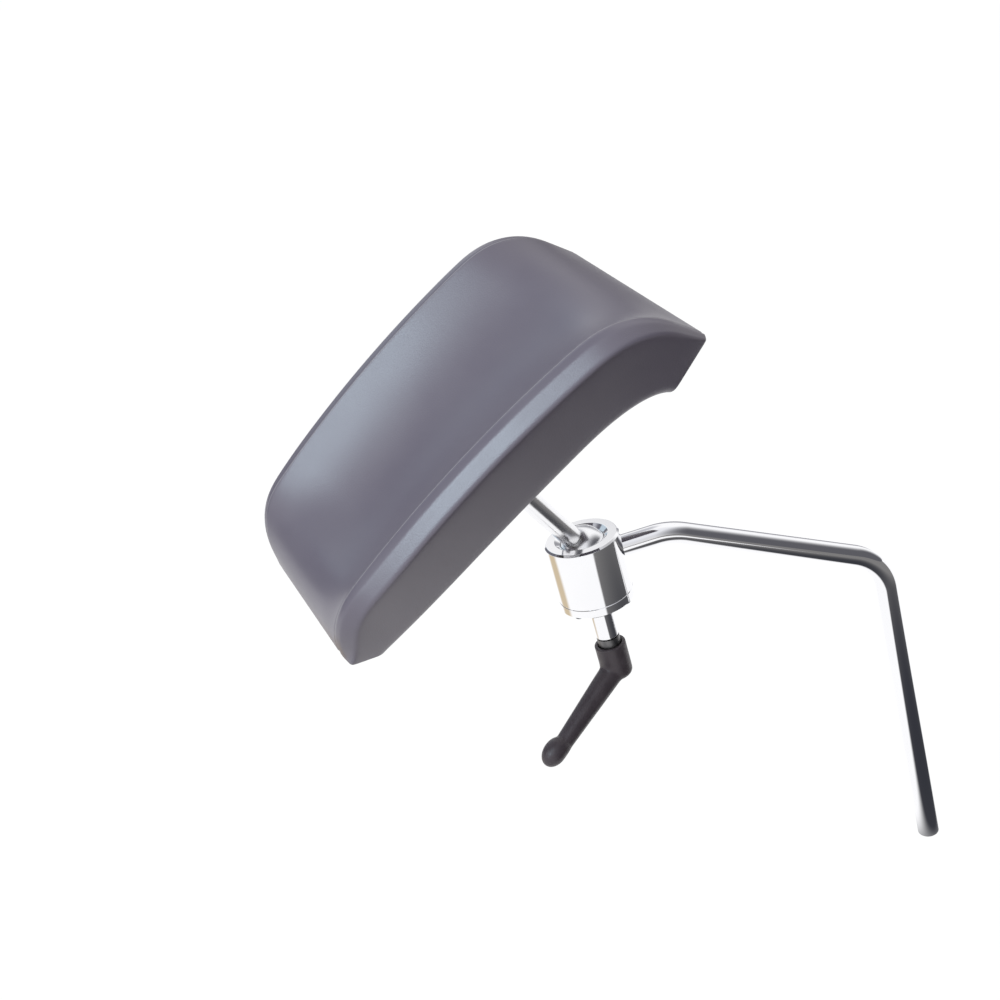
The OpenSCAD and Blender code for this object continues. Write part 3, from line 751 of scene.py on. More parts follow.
@dataclass
class BallHousing:
    """The polished barrel, the collar that closes it and the boss below."""

    pose: Pose
    barrel_r: float = 0.030
    bore_r: float = 0.022
    top: float = 0.011
    bottom: float = -0.039
    collar_bottom: float = -0.0465
    boss_bottom: float = -0.0805
    boss_r: float = 0.0094
    boss_bore_r: float = 0.00605
    spigot_top: float = -0.033
    mouth_r: float = 0.0215
    lip_r: float = 0.0175
    seat_r: float = 0.0193
    bevel: float = 0.0016
    shoulder: float = 0.0012
    seam: float = 0.0003
    collar_chamfer: float = 0.0008
    boss_flange_r: float = 0.0134
    boss_flange_h: float = 0.00402
    boss_chamfer: float = 0.0009
    fit: float = 0.00005
    screw_circle_r: float = 0.026
    screw_hole_r: float = 0.00205
    screw_sink_r: float = 0.00425
    screw_sink_h: float = 0.0032
    screw_sink_z: float = 0.0006

    def build(self, finish: Material) -> None:
        """Builds the barrel, collar and boss."""
        self._barrel(finish)
        self._collar(finish)
        self._boss(finish)

    def _barrel(self, finish: Material) -> None:
        """Turns the barrel with its bevel, flared mouth and spherical seat."""
        lip = math.degrees(math.acos(self.lip_r / self.seat_r))
        low = math.degrees(math.asin(self.shoulder / self.seat_r))
        points = [
            (self.barrel_r, self.bottom + self.seam),
            (self.barrel_r, self.top - self.bevel),
            (self.barrel_r - self.bevel, self.top),
            (self.mouth_r, self.top),
            *arc((0.0, 0.0), self.seat_r, lip, low, 8),
            (self.bore_r, self.shoulder),
            (self.bore_r, self.bottom),
            (self.barrel_r - self.seam, self.bottom),
        ]
        piece = Bench.lathe("housing_barrel", points, solid=False, steps=128)
        Bench.soften(piece, 0.0004, 3)
        Bench.seat(piece, self.pose.in_housing())
        Bench.hand_over(piece, finish, Body.ROD, Slot.POLISHED, "socket_barrel")

    def _collar(self, finish: Material) -> None:
        """Turns the closing collar and sinks its four screw seats."""
        points = [
            (self.boss_r + self.fit, self.collar_bottom),
            (self.barrel_r - self.collar_chamfer, self.collar_bottom),
            (self.barrel_r, self.collar_bottom + self.collar_chamfer),
            (self.barrel_r, self.bottom - self.collar_chamfer / 2),
            (self.barrel_r - self.collar_chamfer / 2, self.bottom),
            (self.bore_r - self.fit, self.bottom),
            (self.bore_r - self.fit, self.spigot_top),
            (self.boss_flange_r + self.fit, self.spigot_top),
            (self.boss_flange_r + self.fit, self.spigot_top - self.boss_flange_h),
            (self.boss_r + self.fit, self.spigot_top - self.boss_flange_h),
        ]
        piece = Bench.lathe("housing_collar", points, solid=False, steps=128)
        for at in quarters(self.screw_circle_r):
            Bench.clear()
            bpy.ops.mesh.primitive_cone_add(
                vertices=64,
                radius1=self.screw_sink_r + 0.001,
                radius2=self.screw_hole_r,
                depth=self.screw_sink_h,
                location=(*at, self.collar_bottom + self.screw_sink_z),
            )
            Bench.combine(piece, bpy.context.active_object)
            Bench.drill(piece, self.screw_hole_r, self.collar_bottom - 0.002, self.bottom + 0.001, at)
        Bench.soften(piece, 0.0002, 2)
        Bench.seat(piece, self.pose.in_housing())
        Bench.hand_over(piece, finish, Body.ROD, Slot.POLISHED, "base_collar")

    def _boss(self, finish: Material) -> None:
        """Turns the threaded boss with its flange inside the collar."""
        points = [
            (self.boss_bore_r + self.boss_chamfer, self.boss_bottom),
            (self.boss_r, self.boss_bottom),
            (self.boss_r, self.spigot_top - self.boss_flange_h),
            (self.boss_flange_r, self.spigot_top - self.boss_flange_h),
            (self.boss_flange_r, self.spigot_top),
            (self.boss_bore_r, self.spigot_top),
            (self.boss_bore_r, self.boss_bottom + self.boss_chamfer),
        ]
        piece = Bench.lathe("threaded_boss", points, solid=False)
        Bench.soften(piece, 0.0005, 3)
        Bench.seat(piece, self.pose.in_housing())
        Bench.hand_over(piece, finish, Body.ROD, Slot.POLISHED, "thread_boss")


@dataclass
class BallStem:
    """The ball with its stem, flange, weld and pad screws."""

    pose: Pose
    ball_r: float = 0.019
    stem_r: float = 0.0085
    spigot_r: float = 0.006
    spigot_end: float = 0.003
    slip: float = 0.0003
    fit: float = 0.00005
    recess_r: float = 0.0053
    recess_end: float = -0.012
    bore_r: float = 0.0033
    tapped_r: float = 0.00305
    tapped_end: float = 0.0153
    under_pad: float = 0.130
    flange_r: float = 0.046
    flange_t: float = 0.005
    weld: float = 0.004
    ripple: float = 0.00016
    ripples: float = 40.0
    circle_r: float = 0.034
    screw_r: float = 0.003
    head_r: float = 0.005
    head_h: float = 0.004
    grip: float = 0.014
    key_r: float = 0.0023
    key_depth: float = 0.0044
    washer_t: float = 0.0016
    washer_r: float = 0.007

    def build(
        self,
        polished: Material,
        flange: Material,
        weld: Material,
        zinc: Material,
    ) -> None:
        """Builds the pieces from the ball up to the pad."""
        self._ball(polished)
        self._stem(polished)
        self._flange(flange)
        self._bead(weld)
        self._screws(zinc)

    def _ball(self, finish: Material) -> None:
        """Turns the ball with its flat, its bore and the recess below."""
        flat = math.degrees(math.acos(self.stem_r / self.ball_r))
        low = -math.degrees(math.acos(self.recess_r / self.ball_r))
        points = [
            (self.recess_r, self.recess_end),
            *arc((0.0, 0.0), self.ball_r, low, flat, 48),
            (self.spigot_r + self.fit, self.ball_r * math.sin(math.radians(flat))),
            (self.spigot_r + self.fit, self.spigot_end),
            (self.bore_r, self.spigot_end),
            (self.bore_r, self.recess_end),
        ]
        piece = Bench.lathe("polished_ball", points, solid=False, steps=128)
        Bench.soften(piece, 0.0003, 2)
        Bench.seat(piece, self.pose.on_stem())
        Bench.hand_over(piece, finish, Body.BALL, Slot.POLISHED, "joint_ball")

    def _stem(self, finish: Material) -> None:
        """Turns the stem with its spigot and tapped hole."""
        start = math.sqrt(self.ball_r**2 - self.stem_r**2) + self.slip
        end = self.spigot_end + self.slip
        points = [
            (0.0, self.tapped_end),
            (self.tapped_r, self.tapped_end),
            (self.tapped_r, end),
            (self.spigot_r, end),
            (self.spigot_r, start),
            (self.stem_r, start),
            (self.stem_r, self.under_pad),
            (0.0, self.under_pad),
        ]
        piece = Bench.lathe("polished_stem", points)
        Bench.soften(piece, 0.0004, 3)
        Bench.seat(piece, self.pose.on_stem())
        Bench.hand_over(piece, finish, Body.PAD, Slot.POLISHED, "stem")

    def _flange(self, finish: Material) -> None:
        """Turns the flange, rounds its rim and drills it for the screws."""
        low = self.under_pad - self.flange_t
        points = [
            (self.stem_r + self.fit, low),
            (self.flange_r, low),
            (self.flange_r, self.under_pad),
            (self.stem_r + self.fit, self.under_pad),
        ]
        piece = Bench.lathe("mounting_flange", points, solid=False, steps=128)
        for at in quarters(self.circle_r):
            Bench.drill(piece, self.screw_r + self.slip, low - 0.001, self.under_pad + 0.001, at)
        Bench.soften(piece, 0.0006, 3)
        Bench.seat(piece, self.pose.on_stem())
        Bench.hand_over(piece, finish, Body.PAD, Slot.MACHINED, "stem_flange")

    def _bead(self, finish: Material) -> None:
        """Turns the fillet weld and swells it into ripples."""
        low = self.under_pad - self.flange_t
        inner = self.stem_r + self.fit
        hollow = arc((inner + self.weld, low - self.weld), self.weld * 0.92, 96.0, 174.0, 8)
        points = [(inner, low), (inner + self.weld, low), *hollow, (inner, low - self.weld)]
        piece = Bench.lathe("weld_fillet", points, solid=False, steps=240)
        for vertex in piece.data.vertices:
            reach = math.hypot(vertex.co.x, vertex.co.y)
            if reach > inner + 0.0002 and vertex.co.z < low - 0.0002:
                turn = self.ripples * math.atan2(vertex.co.y, vertex.co.x) + 260.0 * vertex.co.z
                ripple = self.ripple * math.sin(turn)
                vertex.co.x *= 1.0 + ripple / reach
                vertex.co.y *= 1.0 + ripple / reach
        Bench.smooth(piece, 50.0)
        Bench.seat(piece, self.pose.on_stem())
        Bench.hand_over(piece, finish, Body.PAD, Slot.MACHINED, "flange_weld")

    def _places(self, height: float) -> list[Matrix]:
        """Returns the four screw places at a height along the stem."""
        out = Matrix.Translation((self.circle_r, 0.0, height))
        return [self.pose.on_stem() @ turned("Z", 45.0 + 90.0 * i) @ out for i in range(4)]

    def _screws(self, finish: Material) -> None:
        """Models one cap screw and one washer, and copies each to the four holes."""
        low = self.under_pad - self.flange_t - self.washer_t
        points = [
            (0.0, 0.0),
            (self.head_r, 0.0),
            (self.head_r, self.head_h),
            (self.screw_r, self.head_h),
            (self.screw_r, self.head_h + self.grip),
            (0.0, self.head_h + self.grip),
        ]
        screw = Bench.lathe("cap_screw", points)
        Bench.clear()
        bpy.ops.mesh.primitive_cylinder_add(
            vertices=6, radius=self.key_r, depth=self.key_depth, location=(0.0, 0.0, 0.0)
        )
        Bench.combine(screw, bpy.context.active_object)
        Bench.soften(screw, 0.0004, 2)
        screws = Bench.copies(screw, self._places(low - self.head_h), "cap_screws")
        Bench.hand_over(screws, finish, Body.PAD, Slot.SCREW, "pad_screws")
        bore_r, rim_r, top = self.screw_r + self.slip, self.washer_r, self.washer_t
        points = [(bore_r, 0.0), (rim_r, 0.0), (rim_r, top), (bore_r, top)]
        washer = Bench.lathe("washer", points, solid=False, steps=64)
        Bench.soften(washer, 0.0002, 2)
        washers = Bench.copies(washer, self._places(low), "flat_washers")
        Bench.hand_over(washers, finish, Body.PAD, Slot.MACHINED, "screw_washers")


@dataclass
class ClampLever:
    """The black ratchet lever with its blended arm and bulb end, and its spring."""

    pose: Pose
    hub_r: float = 0.0128
    hub_top: float = -0.0885
    hub_bottom: float = -0.120
    recess_r: float = 0.0102
    recess_floor: float = -0.0925
    arm_z: float = -0.1115
    azimuth: float = 215.0
    slope: float = 20.0
    reach: float = 0.084
    root_r: float = 0.0101
    neck_r: float = 0.0067
    tip_r: float = 0.0093
    tip_stretch: float = 1.4
    web_top: float = -0.100
    web_bottom: float = -0.102
    chamber_r: float = 0.007
    tooth_r: float = 0.0085
    bore_r: float = 0.0033
    foot_round: float = 0.0055
    top_round: float = 0.0008
    bulb_run: float = 1.4
    fillet_at: tuple[float, float] = (0.010, 0.0085)
    fillet_width: float = 0.006
    voxel: float = 0.00055
    spring_seat: float = -0.112
    wire_r: float = 0.0005
    coil_r: float = 0.0046
    coil_gap: float = 0.00065
    coil_turns: int = 4
    root_steps: int = 12
    taper_steps: int = 23
    bulb_steps: int = 32
    swell_power: int = 16
    skin_passes: int = 3
    fillet_passes: int = 90

    def build(self, coat: Material, wire: Material) -> None:
        """Builds the handle and the spring."""
        self._handle(coat)
        self._spring(wire)

    def _hub(self) -> Piece:
        """Returns the plain hub with its rounded foot."""
        foot, top = self.foot_round, self.top_round
        points = [
            (0.0, self.hub_bottom),
            *arc((self.hub_r - foot, self.hub_bottom + foot), foot, -90.0, 0.0, 8),
            *arc((self.hub_r - top, self.hub_top - top), top, 0.0, 90.0, 4),
            (0.0, self.hub_top),
        ]
        piece = Bench.lathe("lever_body", points)
        Bench.seat(piece, self.pose.in_housing())
        return piece

    def _arm(self) -> Piece:
        """Returns the tapered arm with the bulb that swells its upper side."""
        length = self.reach / math.cos(math.radians(self.slope))
        lift = self.tip_r - self.neck_r
        rings: list[Triple] = []
        for i in range(self.root_steps + 1):
            a = math.radians(90.0 * i / self.root_steps)
            rings.append((-self.root_r * math.cos(a), 0.0, max(self.root_r * math.sin(a), 1e-5)))
        bulb = self.tip_stretch * self.tip_r
        start = length - self.bulb_run * bulb
        for i in range(1, self.taper_steps + 1):
            z = start * i / self.taper_steps
            rings.append((z, 0.0, self._taper(z / length)))
        power = self.swell_power
        for i in range(1, self.bulb_steps + 1):
            z = start + (length + bulb - start) * math.sin(math.radians(90.0 * i / self.bulb_steps))
            ball = self.tip_r * math.sqrt(max(1.0 - ((z - length) / bulb) ** 2, 0.0))
            if z < length:
                under = self._taper(z / length)
                upper = (under**power + (ball + lift * (ball > 0)) ** power) ** (1 / power)
            else:
                under, upper = ball - lift, ball + lift
            rings.append((z, (upper - under) / 2, max((upper + under) / 2, 1e-5)))
        Bench.clear()
        bpy.ops.mesh.primitive_circle_add(
            vertices=64, radius=rings[0][2], fill_type="NGON", location=(0.0, 0.0, rings[0][0])
        )
        piece = bpy.context.active_object
        bpy.ops.object.mode_set(mode="EDIT")
        bpy.ops.mesh.select_all(action="SELECT")
        for (z0, s0, r0), (z1, s1, r1) in zip(rings, rings[1:]):
            bpy.ops.mesh.extrude_region_move(TRANSFORM_OT_translate={"value": (s0 - s1, 0.0, z1 - z0)})
            bpy.ops.transform.resize(value=(r1 / r0, r1 / r0, 1.0), center_override=(-s1, 0.0, z1))
        Bench.close(piece, 1e-7)
        Bench.seat(piece, self.pose.on_arm(self.arm_z, self.azimuth, self.slope))
        return piece

    def _taper(self, share: float) -> float:
        """Returns the arm's radius at a share of its length."""
        return self.root_r + (self.neck_r - self.root_r) * share

    def _handle(self, finish: Material) -> None:
        """Joins hub and arm, blends them as a casting and cuts the hub's hollows."""
        piece = self._hub()
        Bench.combine(piece, self._arm(), "UNION")
        Bench.take(piece)
        skin = piece.modifiers.new("skin", "REMESH")
        skin.mode = "VOXEL"
        skin.voxel_size = self.voxel
        bpy.ops.object.modifier_apply(modifier=skin.name)
        self._blend(piece)
        centre = self.pose.housing
        tools = (
            (self.recess_r, self.recess_floor, self.hub_top + 0.002),
            (self.tooth_r, self.web_top, self.recess_floor + 0.001),
            (self.bore_r, self.web_bottom - 0.001, self.web_top + 0.001),
            (self.chamber_r, self.hub_bottom - 0.004, self.web_bottom),
        )
        for radius, low, high in tools:
            Bench.drill(piece, radius, centre.z + low, centre.z + high, (centre.x, centre.y))
        Bench.smooth(piece, 35.0)
        piece.name = "lever_casting"
        Bench.hand_over(piece, finish, Body.LEVER, Slot.LEVER, "lever_handle")

    def _blend(self, piece: Piece) -> None:
        """Smooths the whole skin a little, and much more where the arm leaves the hub."""
        place = self.pose.on_arm(self.arm_z, self.azimuth, self.slope).inverted()
        axis = self.pose.housing
        fillet = piece.vertex_groups.new(name="fillet")
        for vertex in piece.data.vertices:
            on_arm = place @ vertex.co
            around = math.hypot(vertex.co.x - axis.x, vertex.co.y - axis.y)
            along = math.exp(-(((on_arm.z - self.fillet_at[0]) / self.fillet_at[1]) ** 2))
            near = math.exp(-(((around - self.hub_r) / self.fillet_width) ** 2))
            top = vertex.co.z - axis.z > self.hub_top - 0.003
            fillet.add([vertex.index], 0.0 if top else along * near, "REPLACE")
        passes = (
            ("skin_finish", self.skin_passes, ""),
            ("fillet_finish", self.fillet_passes, fillet.name),
        )
        for name, times, group in passes:
            step = piece.modifiers.new(name, "SMOOTH")
            step.factor = 0.5
            step.iterations = times
            step.vertex_group = group
            bpy.ops.object.modifier_apply(modifier=step.name)
        piece.vertex_groups.clear()

    def _spring(self, finish: Material) -> None:
        """Winds the spring between the web and the retaining screw's head."""
        low, high = self.spring_seat + self.coil_gap, self.web_bottom - self.coil_gap
        Bench.clear()
        bpy.ops.mesh.primitive_circle_add(vertices=16, radius=self.wire_r, fill_type="NOTHING")
        piece = bpy.context.active_object
        Bench.seat(piece, Matrix.Translation((self.coil_r, 0.0, low)) @ turned("X", 90.0))
        Bench.take(piece)
        coil = piece.modifiers.new("coil", "SCREW")
        coil.angle = math.tau
        coil.steps = coil.render_steps = 40
        coil.iterations = self.coil_turns
        coil.screw_offset = (high - low) / self.coil_turns
        coil.use_merge_vertices = False
        bpy.ops.object.modifier_apply(modifier=coil.name)
        Bench.edit(piece)
        bpy.ops.mesh.select_all(action="DESELECT")
        bpy.ops.mesh.select_non_manifold()
        bpy.ops.mesh.fill_holes(sides=16)
        Bench.close(piece, 1e-7)
        Bench.smooth(piece, 40.0)
        Bench.seat(piece, self.pose.in_housing())
        piece.name = "return_spring"
        Bench.hand_over(piece, finish, Body.SCREW, Slot.MACHINED, "lever_spring")
        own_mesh(piece)


@dataclass
class SaddlePad:
    """The moulded pad: a saddle whose ends roll down, with a parting line along its rims."""

    pose: Pose
    half_w: float = 0.084
    taper: float = 0.04
    bow: float = 0.023
    rim_h: float = 0.077
    trough: float = 0.031
    trough_run: float = 0.105
    crown_r: float = 0.890
    flats: tuple[float, float] = (0.118, 0.099)
    roll_rs: tuple[float, float] = (0.052, 0.068)
    rolls: tuple[float, float] = (67.0, 69.0)
    tails: tuple[float, float] = (0.012, 0.028)
    end_ts: tuple[float, float] = (0.032, 0.049)
    cuts: tuple[float, float] = (27.0, 6.7)
    shoulder: float = 0.0205
    drop: float = 0.0092
    knee: tuple[float, float] = (0.40, 0.12)
    knee_blend: float = 0.0016
    draw_in: float = 0.0075
    curl: float = 0.017
    curl_run: float = 0.080
    curl_power: float = 2.6
    tips: tuple[float, float] = (0.16, 0.3)
    sinks: tuple[float, float] = (1.15, 0.3)
    tip_run: float = 0.024
    tip_sink: float = 0.12
    foot_share: float = 0.32
    pull_share: float = 0.82
    shoulder_fade: float = 0.106
    fade_power: float = 0.8
    rim_blend: float = 0.0022
    bead: float = 0.0002
    bead_half: float = 0.0006
    crease_blend: float = 0.0028
    foot_blend: float = 0.009
    under_pad: float = BallStem.under_pad
    plate: Triple = (0.150, 0.096, 0.008)
    top_columns: int = 26

    STATIONS = (
        *(0.0, 0.1, 0.2, 0.3, 0.4, 0.48, 0.54, 0.6, 0.65, 0.7),
        *(0.74, 0.78, 0.82, 0.86, 0.9, 0.935, 0.965, 0.99, 1.0),
    )
    CAP = (0.96, 0.85, 0.62, 0.35)
    CREASE = 0.8

    def build(self, finish: Material, parting: str) -> None:
        """Shapes the pad, closes and rounds it, and cuts the plate's pocket."""
        lower = [self._section(-1, k) for k in reversed(self.STATIONS[1:])]
        sections = lower + [self._section(1, k) for k in self.STATIONS]
        count = len(sections[0])
        Bench.clear()
        bpy.ops.mesh.primitive_grid_add(x_subdivisions=count, y_subdivisions=len(sections) - 1, size=1.0)
        piece = bpy.context.active_object
        piece.name = "moulded_pad"
        attribute = piece.data.attributes.new(parting, "FLOAT", "POINT")
        ranks = [self._rank(vertex.co) for vertex in piece.data.vertices]
        order = sorted(range(len(ranks)), key=lambda index: ranks[index])
        for place, index in enumerate(order):
            row, column = divmod(place, count + 1)
            point, mark = sections[row][column % count]
            piece.data.vertices[index].co = point
            attribute.data[index].value = mark
        Bench.close(piece, 1e-6)
        self._cap(piece, [point for point, _ in sections[0]])
        self._cap(piece, [point for point, _ in sections[-1]])
        Bench.close(piece, 1e-7)
        self._crease(piece, parting)
        Bench.take(piece)
        skin = piece.modifiers.new("skin", "SUBSURF")
        skin.levels = skin.render_levels = 2
        bpy.ops.object.modifier_apply(modifier=skin.name)
        self._pocket(piece)
        Bench.smooth(piece, 40.0)
        crown = Matrix.Translation((0.0, 0.0, self.under_pad + self.rim_h))
        Bench.seat(piece, self.pose.on_stem() @ crown)
        Bench.hand_over(piece, finish, Body.PAD, Slot.PAD_SKIN, "leg_pad")

    @staticmethod
    def _rank(co: Vector) -> tuple[float, float]:
        """Orders the flat grid's vertices by row and column."""
        return round(co.y, 6), round(co.x, 6)

    def _end(self, side: int) -> int:
        """Returns the index of an end's sizes."""
        return 1 if side > 0 else 0

    def _roll_len(self, side: int) -> float:
        """Returns the arc length of an end's roll."""
        i = self._end(side)
        return (math.radians(self.rolls[i]) - self.flats[i] / self.crown_r) * self.roll_rs[i]

    def _rim_len(self, side: int) -> float:
        """Returns the arc length of the rim from the middle to a tip."""
        i = self._end(side)
        return self.flats[i] + self._roll_len(side) + self.tails[i]

    def _angle(self, side: int, s: float) -> float:
        """Returns the rim's fall in radians at an arc length."""
        i = self._end(side)
        on_roll = self.flats[i] / self.crown_r + (s - self.flats[i]) / self.roll_rs[i]
        return s / self.crown_r if s < self.flats[i] else min(math.radians(self.rolls[i]), on_roll)

    def _rim(self, side: int, s: float) -> Vector:
        """Returns the rim's place as (length, height) at an arc length."""
        i = self._end(side)
        start = min(s, self.flats[i]) / self.crown_r
        place = self.crown_r * Vector((math.sin(start), math.cos(start) - 1.0))
        if s > self.flats[i]:
            end = self._angle(side, s)
            rolled = Vector((math.sin(end) - math.sin(start), math.cos(end) - math.cos(start)))
            place += self.roll_rs[i] * rolled
        tail = max(0.0, s - self.flats[i] - self._roll_len(side))
        fall = math.radians(self.rolls[i])
        return place + tail * Vector((math.cos(fall), -math.sin(fall)))

    def _floor(self, side: int, s: float) -> Vector:
        """Returns the trough's lowest place at an arc length."""
        x = min(1.0, (self._rim_len(side) - s) / self.trough_run)
        depth = self.trough * x * x * (3.0 - 2.0 * x)
        a = self._angle(side, s)
        return self._rim(side, s) - depth * Vector((math.sin(a), math.cos(a)))

    def _under(self, side: int, k: float) -> Vector:
        """Returns the underside's place at a share of the way to an end."""
        i = self._end(side)
        a = math.radians(self.rolls[i] - self.cuts[i])
        tip = self._rim(side, self._rim_len(side))
        corner = tip - self.end_ts[i] * Vector((math.sin(a), math.cos(a)))
        flat = self.foot_share * corner.x
        if k * corner.x <= flat:
            return Vector((k * corner.x, -self.rim_h))
        t = (k - self.foot_share) / (1 - self.foot_share)
        pull = Vector((flat + self.pull_share * (corner.x - flat), -self.rim_h))
        return (1 - t) ** 2 * Vector((flat, -self.rim_h)) + 2 * t * (1 - t) * pull + t * t * corner

    def _half(self, length: float) -> float:
        """Returns the half width at a signed length from the middle."""
        return self.half_w + self.taper * length + self.bow * length * length

    def _curl(self, side: int, s: float) -> float:
        """Returns how far the parting line turns in near the lower tips."""
        left = min(1.0, (self._rim_len(side) - s) / self.curl_run)
        return 0.0 if side > 0 else self.curl * (1.0 - left) ** self.curl_power

    def _sink(self, side: int, s: float, inward: float) -> float:
        """Returns the share of the shoulder's fall at an arc length near a tip."""
        sink = self.sinks[self._end(side)]
        near = 1.0 if side > 0 else min(1.0, (self._rim_len(side) - s) / self.tip_run)
        return (sink + (1 - sink) * inward) * (self.tip_sink + (1 - self.tip_sink) * near * (2.0 - near))

    @staticmethod
    def _blend(before: Vector, corner: Vector, after: Vector, reach: float, count: int) -> list[Vector]:
        """Rounds a corner by a curve that starts and ends at that reach from it."""
        start = corner + (before - corner).normalized() * reach
        end = corner + (after - corner).normalized() * reach
        shares = [i / (count - 1) for i in range(count)]
        return [(1 - t) ** 2 * start + 2 * t * (1 - t) * corner + t * t * end for t in shares]

    def _section(self, side: int, k: float) -> list[tuple[Vector, float]]:
        """Draws one closed section of the pad.

        Args:
            side: 1 towards the upper end, -1 towards the lower.
            k: Share of the rim's length from the middle.

        Returns:
            Points from the far rim over the trough and back along the underside, each with
            its closeness to the parting line.
        """
        s = k * self._rim_len(side)
        rim, floor, fall = self._rim(side, s), self._floor(side, s), self._angle(side, s)
        ridge = self._half(side * rim.x) - self._curl(side, s)
        inner = ridge - self.rim_blend

        def top(y: float) -> Vector:
            """Returns the trough's surface at a place across it."""
            at = floor + (rim - floor) * (y / ridge) ** 2
            return Vector((side * at.x, y, at.y))

        up = Vector((side * math.sin(fall), 0.0, math.cos(fall)))
        count = self.top_columns
        surface = [top(inner * math.sin(math.pi / 2 * (1 - 2 * i / count))) for i in range(count + 1)]
        near, far = self._flank(side, s, k, -1, up), self._flank(side, s, k, 1, up)
        middle = self._under(side, k)
        under = Vector((side * middle.x, 0.0, middle.y))
        points = surface + near + [under] + far[::-1]
        crest = (len(surface) + 1, len(points) - 2)
        return [(point, 1.0 if i in crest else 0.0) for i, point in enumerate(points)]

    def _flank(self, side: int, s: float, k: float, hand: int, up: Vector) -> list[Vector]:
        """Draws one side of a section.

        Args:
            side: 1 towards the upper end, -1 towards the lower.
            s: Arc length of the rim from the middle.
            k: Share of the rim's length from the middle.
            hand: 1 on the far side, -1 on the near side.
            up: Outward direction at the rim.

        Returns:
            Points from the rim's bead over the shoulder and the wall to the underside.
        """
        rim, middle = self._rim(side, s), self._under(side, k)
        half = self._half(side * rim.x)
        ridge = half - self._curl(side, s)
        left, tip = min(1.0, (self._rim_len(side) - s) / self.shoulder_fade), self.tips[self._end(side)]
        inward = math.sin(math.pi / 2 * left) ** self.fade_power
        fade = tip + (1 - tip) * inward
        crest = Vector((side * rim.x, hand * ridge, rim.y))
        out = Vector((0.0, hand * (half - ridge + self.shoulder * fade), 0.0))
        down = -self.drop * self._sink(side, s, inward) * up
        knee = crest + self.knee[0] * out + self.knee[1] * down
        edge = crest + out + down
        foot = Vector((side * middle.x, hand * (half - self.draw_in), middle.y))
        blend = min(self.crease_blend, 0.3 * (edge - knee).length)
        side_blend = min(self.crease_blend, 0.2 * (foot - edge).length)
        round_foot = min(self.foot_blend, 0.3 * (foot - edge).length)
        lift = 0.25 * self.rim_blend
        bend = min(self.knee_blend, 0.3 * (knee - crest).length)
        points = [
            crest - lift * up - Vector((0.0, hand * self.bead_half, 0.0)),
            crest + (self.bead - lift) * up,
            crest - lift * up + Vector((0.0, hand * self.bead_half, 0.0)),
        ]
        points += [crest.lerp(knee, t) for t in (0.22, 0.5)]
        points += self._blend(crest, knee, edge, bend, 3)
        points += [knee.lerp(edge, t) for t in (0.35, 0.65)]
        points += self._blend(knee, edge, foot, min(blend, side_blend), 3)
        points += [edge.lerp(foot, t) for t in (0.3, 0.5, 0.7)]
        points += self._blend(edge, foot, Vector((foot.x, 0.0, foot.z)), round_foot, 5)
        points += [Vector((foot.x, foot.y * t, foot.z)) for t in (0.8, 0.45)]
        return points

    def _cap(self, piece: Piece, ring: list[Vector]) -> None:
        """Closes an end with rings drawn in towards its middle."""
        keys = {tuple(round(c, 6) for c in point) for point in ring}
        Bench.edit(piece, lambda co: tuple(round(c, 6) for c in co) in keys)
        low = Vector(tuple(min(p[i] for p in ring) for i in range(3)))
        high = Vector(tuple(max(p[i] for p in ring) for i in range(3)))
        middle = (low + high) / 2
        previous = 1.0
        for share in self.CAP:
            step = share / previous
            bpy.ops.mesh.extrude_region_move(TRANSFORM_OT_translate={"value": (0.0, 0.0, 0.0)})
            bpy.ops.transform.resize(value=(step, step, step), center_override=middle)
            previous = share
        bpy.ops.mesh.merge(type="CENTER")
        bpy.ops.object.mode_set(mode="OBJECT")

    def _crease(self, piece: Piece, parting: str) -> None:
        """Keeps the parting line sharp under the subdivision."""
        marks = piece.data.attributes[parting].data
        crease = piece.data.attributes.new("crease_edge", "FLOAT", "EDGE")
        for edge in piece.data.edges:
            first, second = edge.vertices
            if marks[first].value > 0.9 and marks[second].value > 0.9:
                crease.data[edge.index].value = self.CREASE

    def _pocket(self, piece: Piece) -> None:
        """Cuts the pocket that the plate is let into."""
        length, width, depth = self.plate
        clear, run_out = 0.0003, 0.01
        Bench.clear()
        middle = (0.0, 0.0, (depth + clear - run_out) / 2 - self.rim_h)
        bpy.ops.mesh.primitive_cube_add(size=1.0, location=middle)
        pocket = bpy.context.active_object
        pocket.scale = (length + 2 * clear, width + 2 * clear, depth + clear + run_out)
        Bench.combine(piece, pocket)


@dataclass(frozen=True)
class Patch:
    """A soft-edged patch of the surroundings, as the steel mirrors it.

    Args:
        aim: Direction of its middle.
        edge: Cosines from that direction at which it starts and is full.
        colour: Its colour.
    """

    aim: Triple
    edge: Point
    colour: Colour


@dataclass(frozen=True)
class Spot:
    """A round soft-edged spot on the floor, by its place and its distances of start and full."""

    at: Point
    edge: Point


@dataclass(frozen=True)
class Lamp:
    """A round soft lamp that is turned to the object."""

    name: str
    place: Vector
    size: float
    power: float
    colour: Colour = (0.72, 0.90, 1.0)
    target: Vector = Vector((-0.25, 0.0, 0.45))

    def hang(self) -> None:
        """Adds the lamp to the scene."""
        data = bpy.data.lights.new(self.name, "AREA")
        data.shape = "DISK"
        data.size = self.size
        data.energy = self.power
        data.color = self.colour
        lamp = bpy.data.objects.new(self.name, data)
        bpy.context.scene.collection.objects.link(lamp)
        aim = (self.target - self.place).to_track_quat("-Z", "Y").to_matrix()
        lamp.matrix_world = Matrix.Translation(self.place) @ aim.to_4x4()
        lamp.visible_camera = False


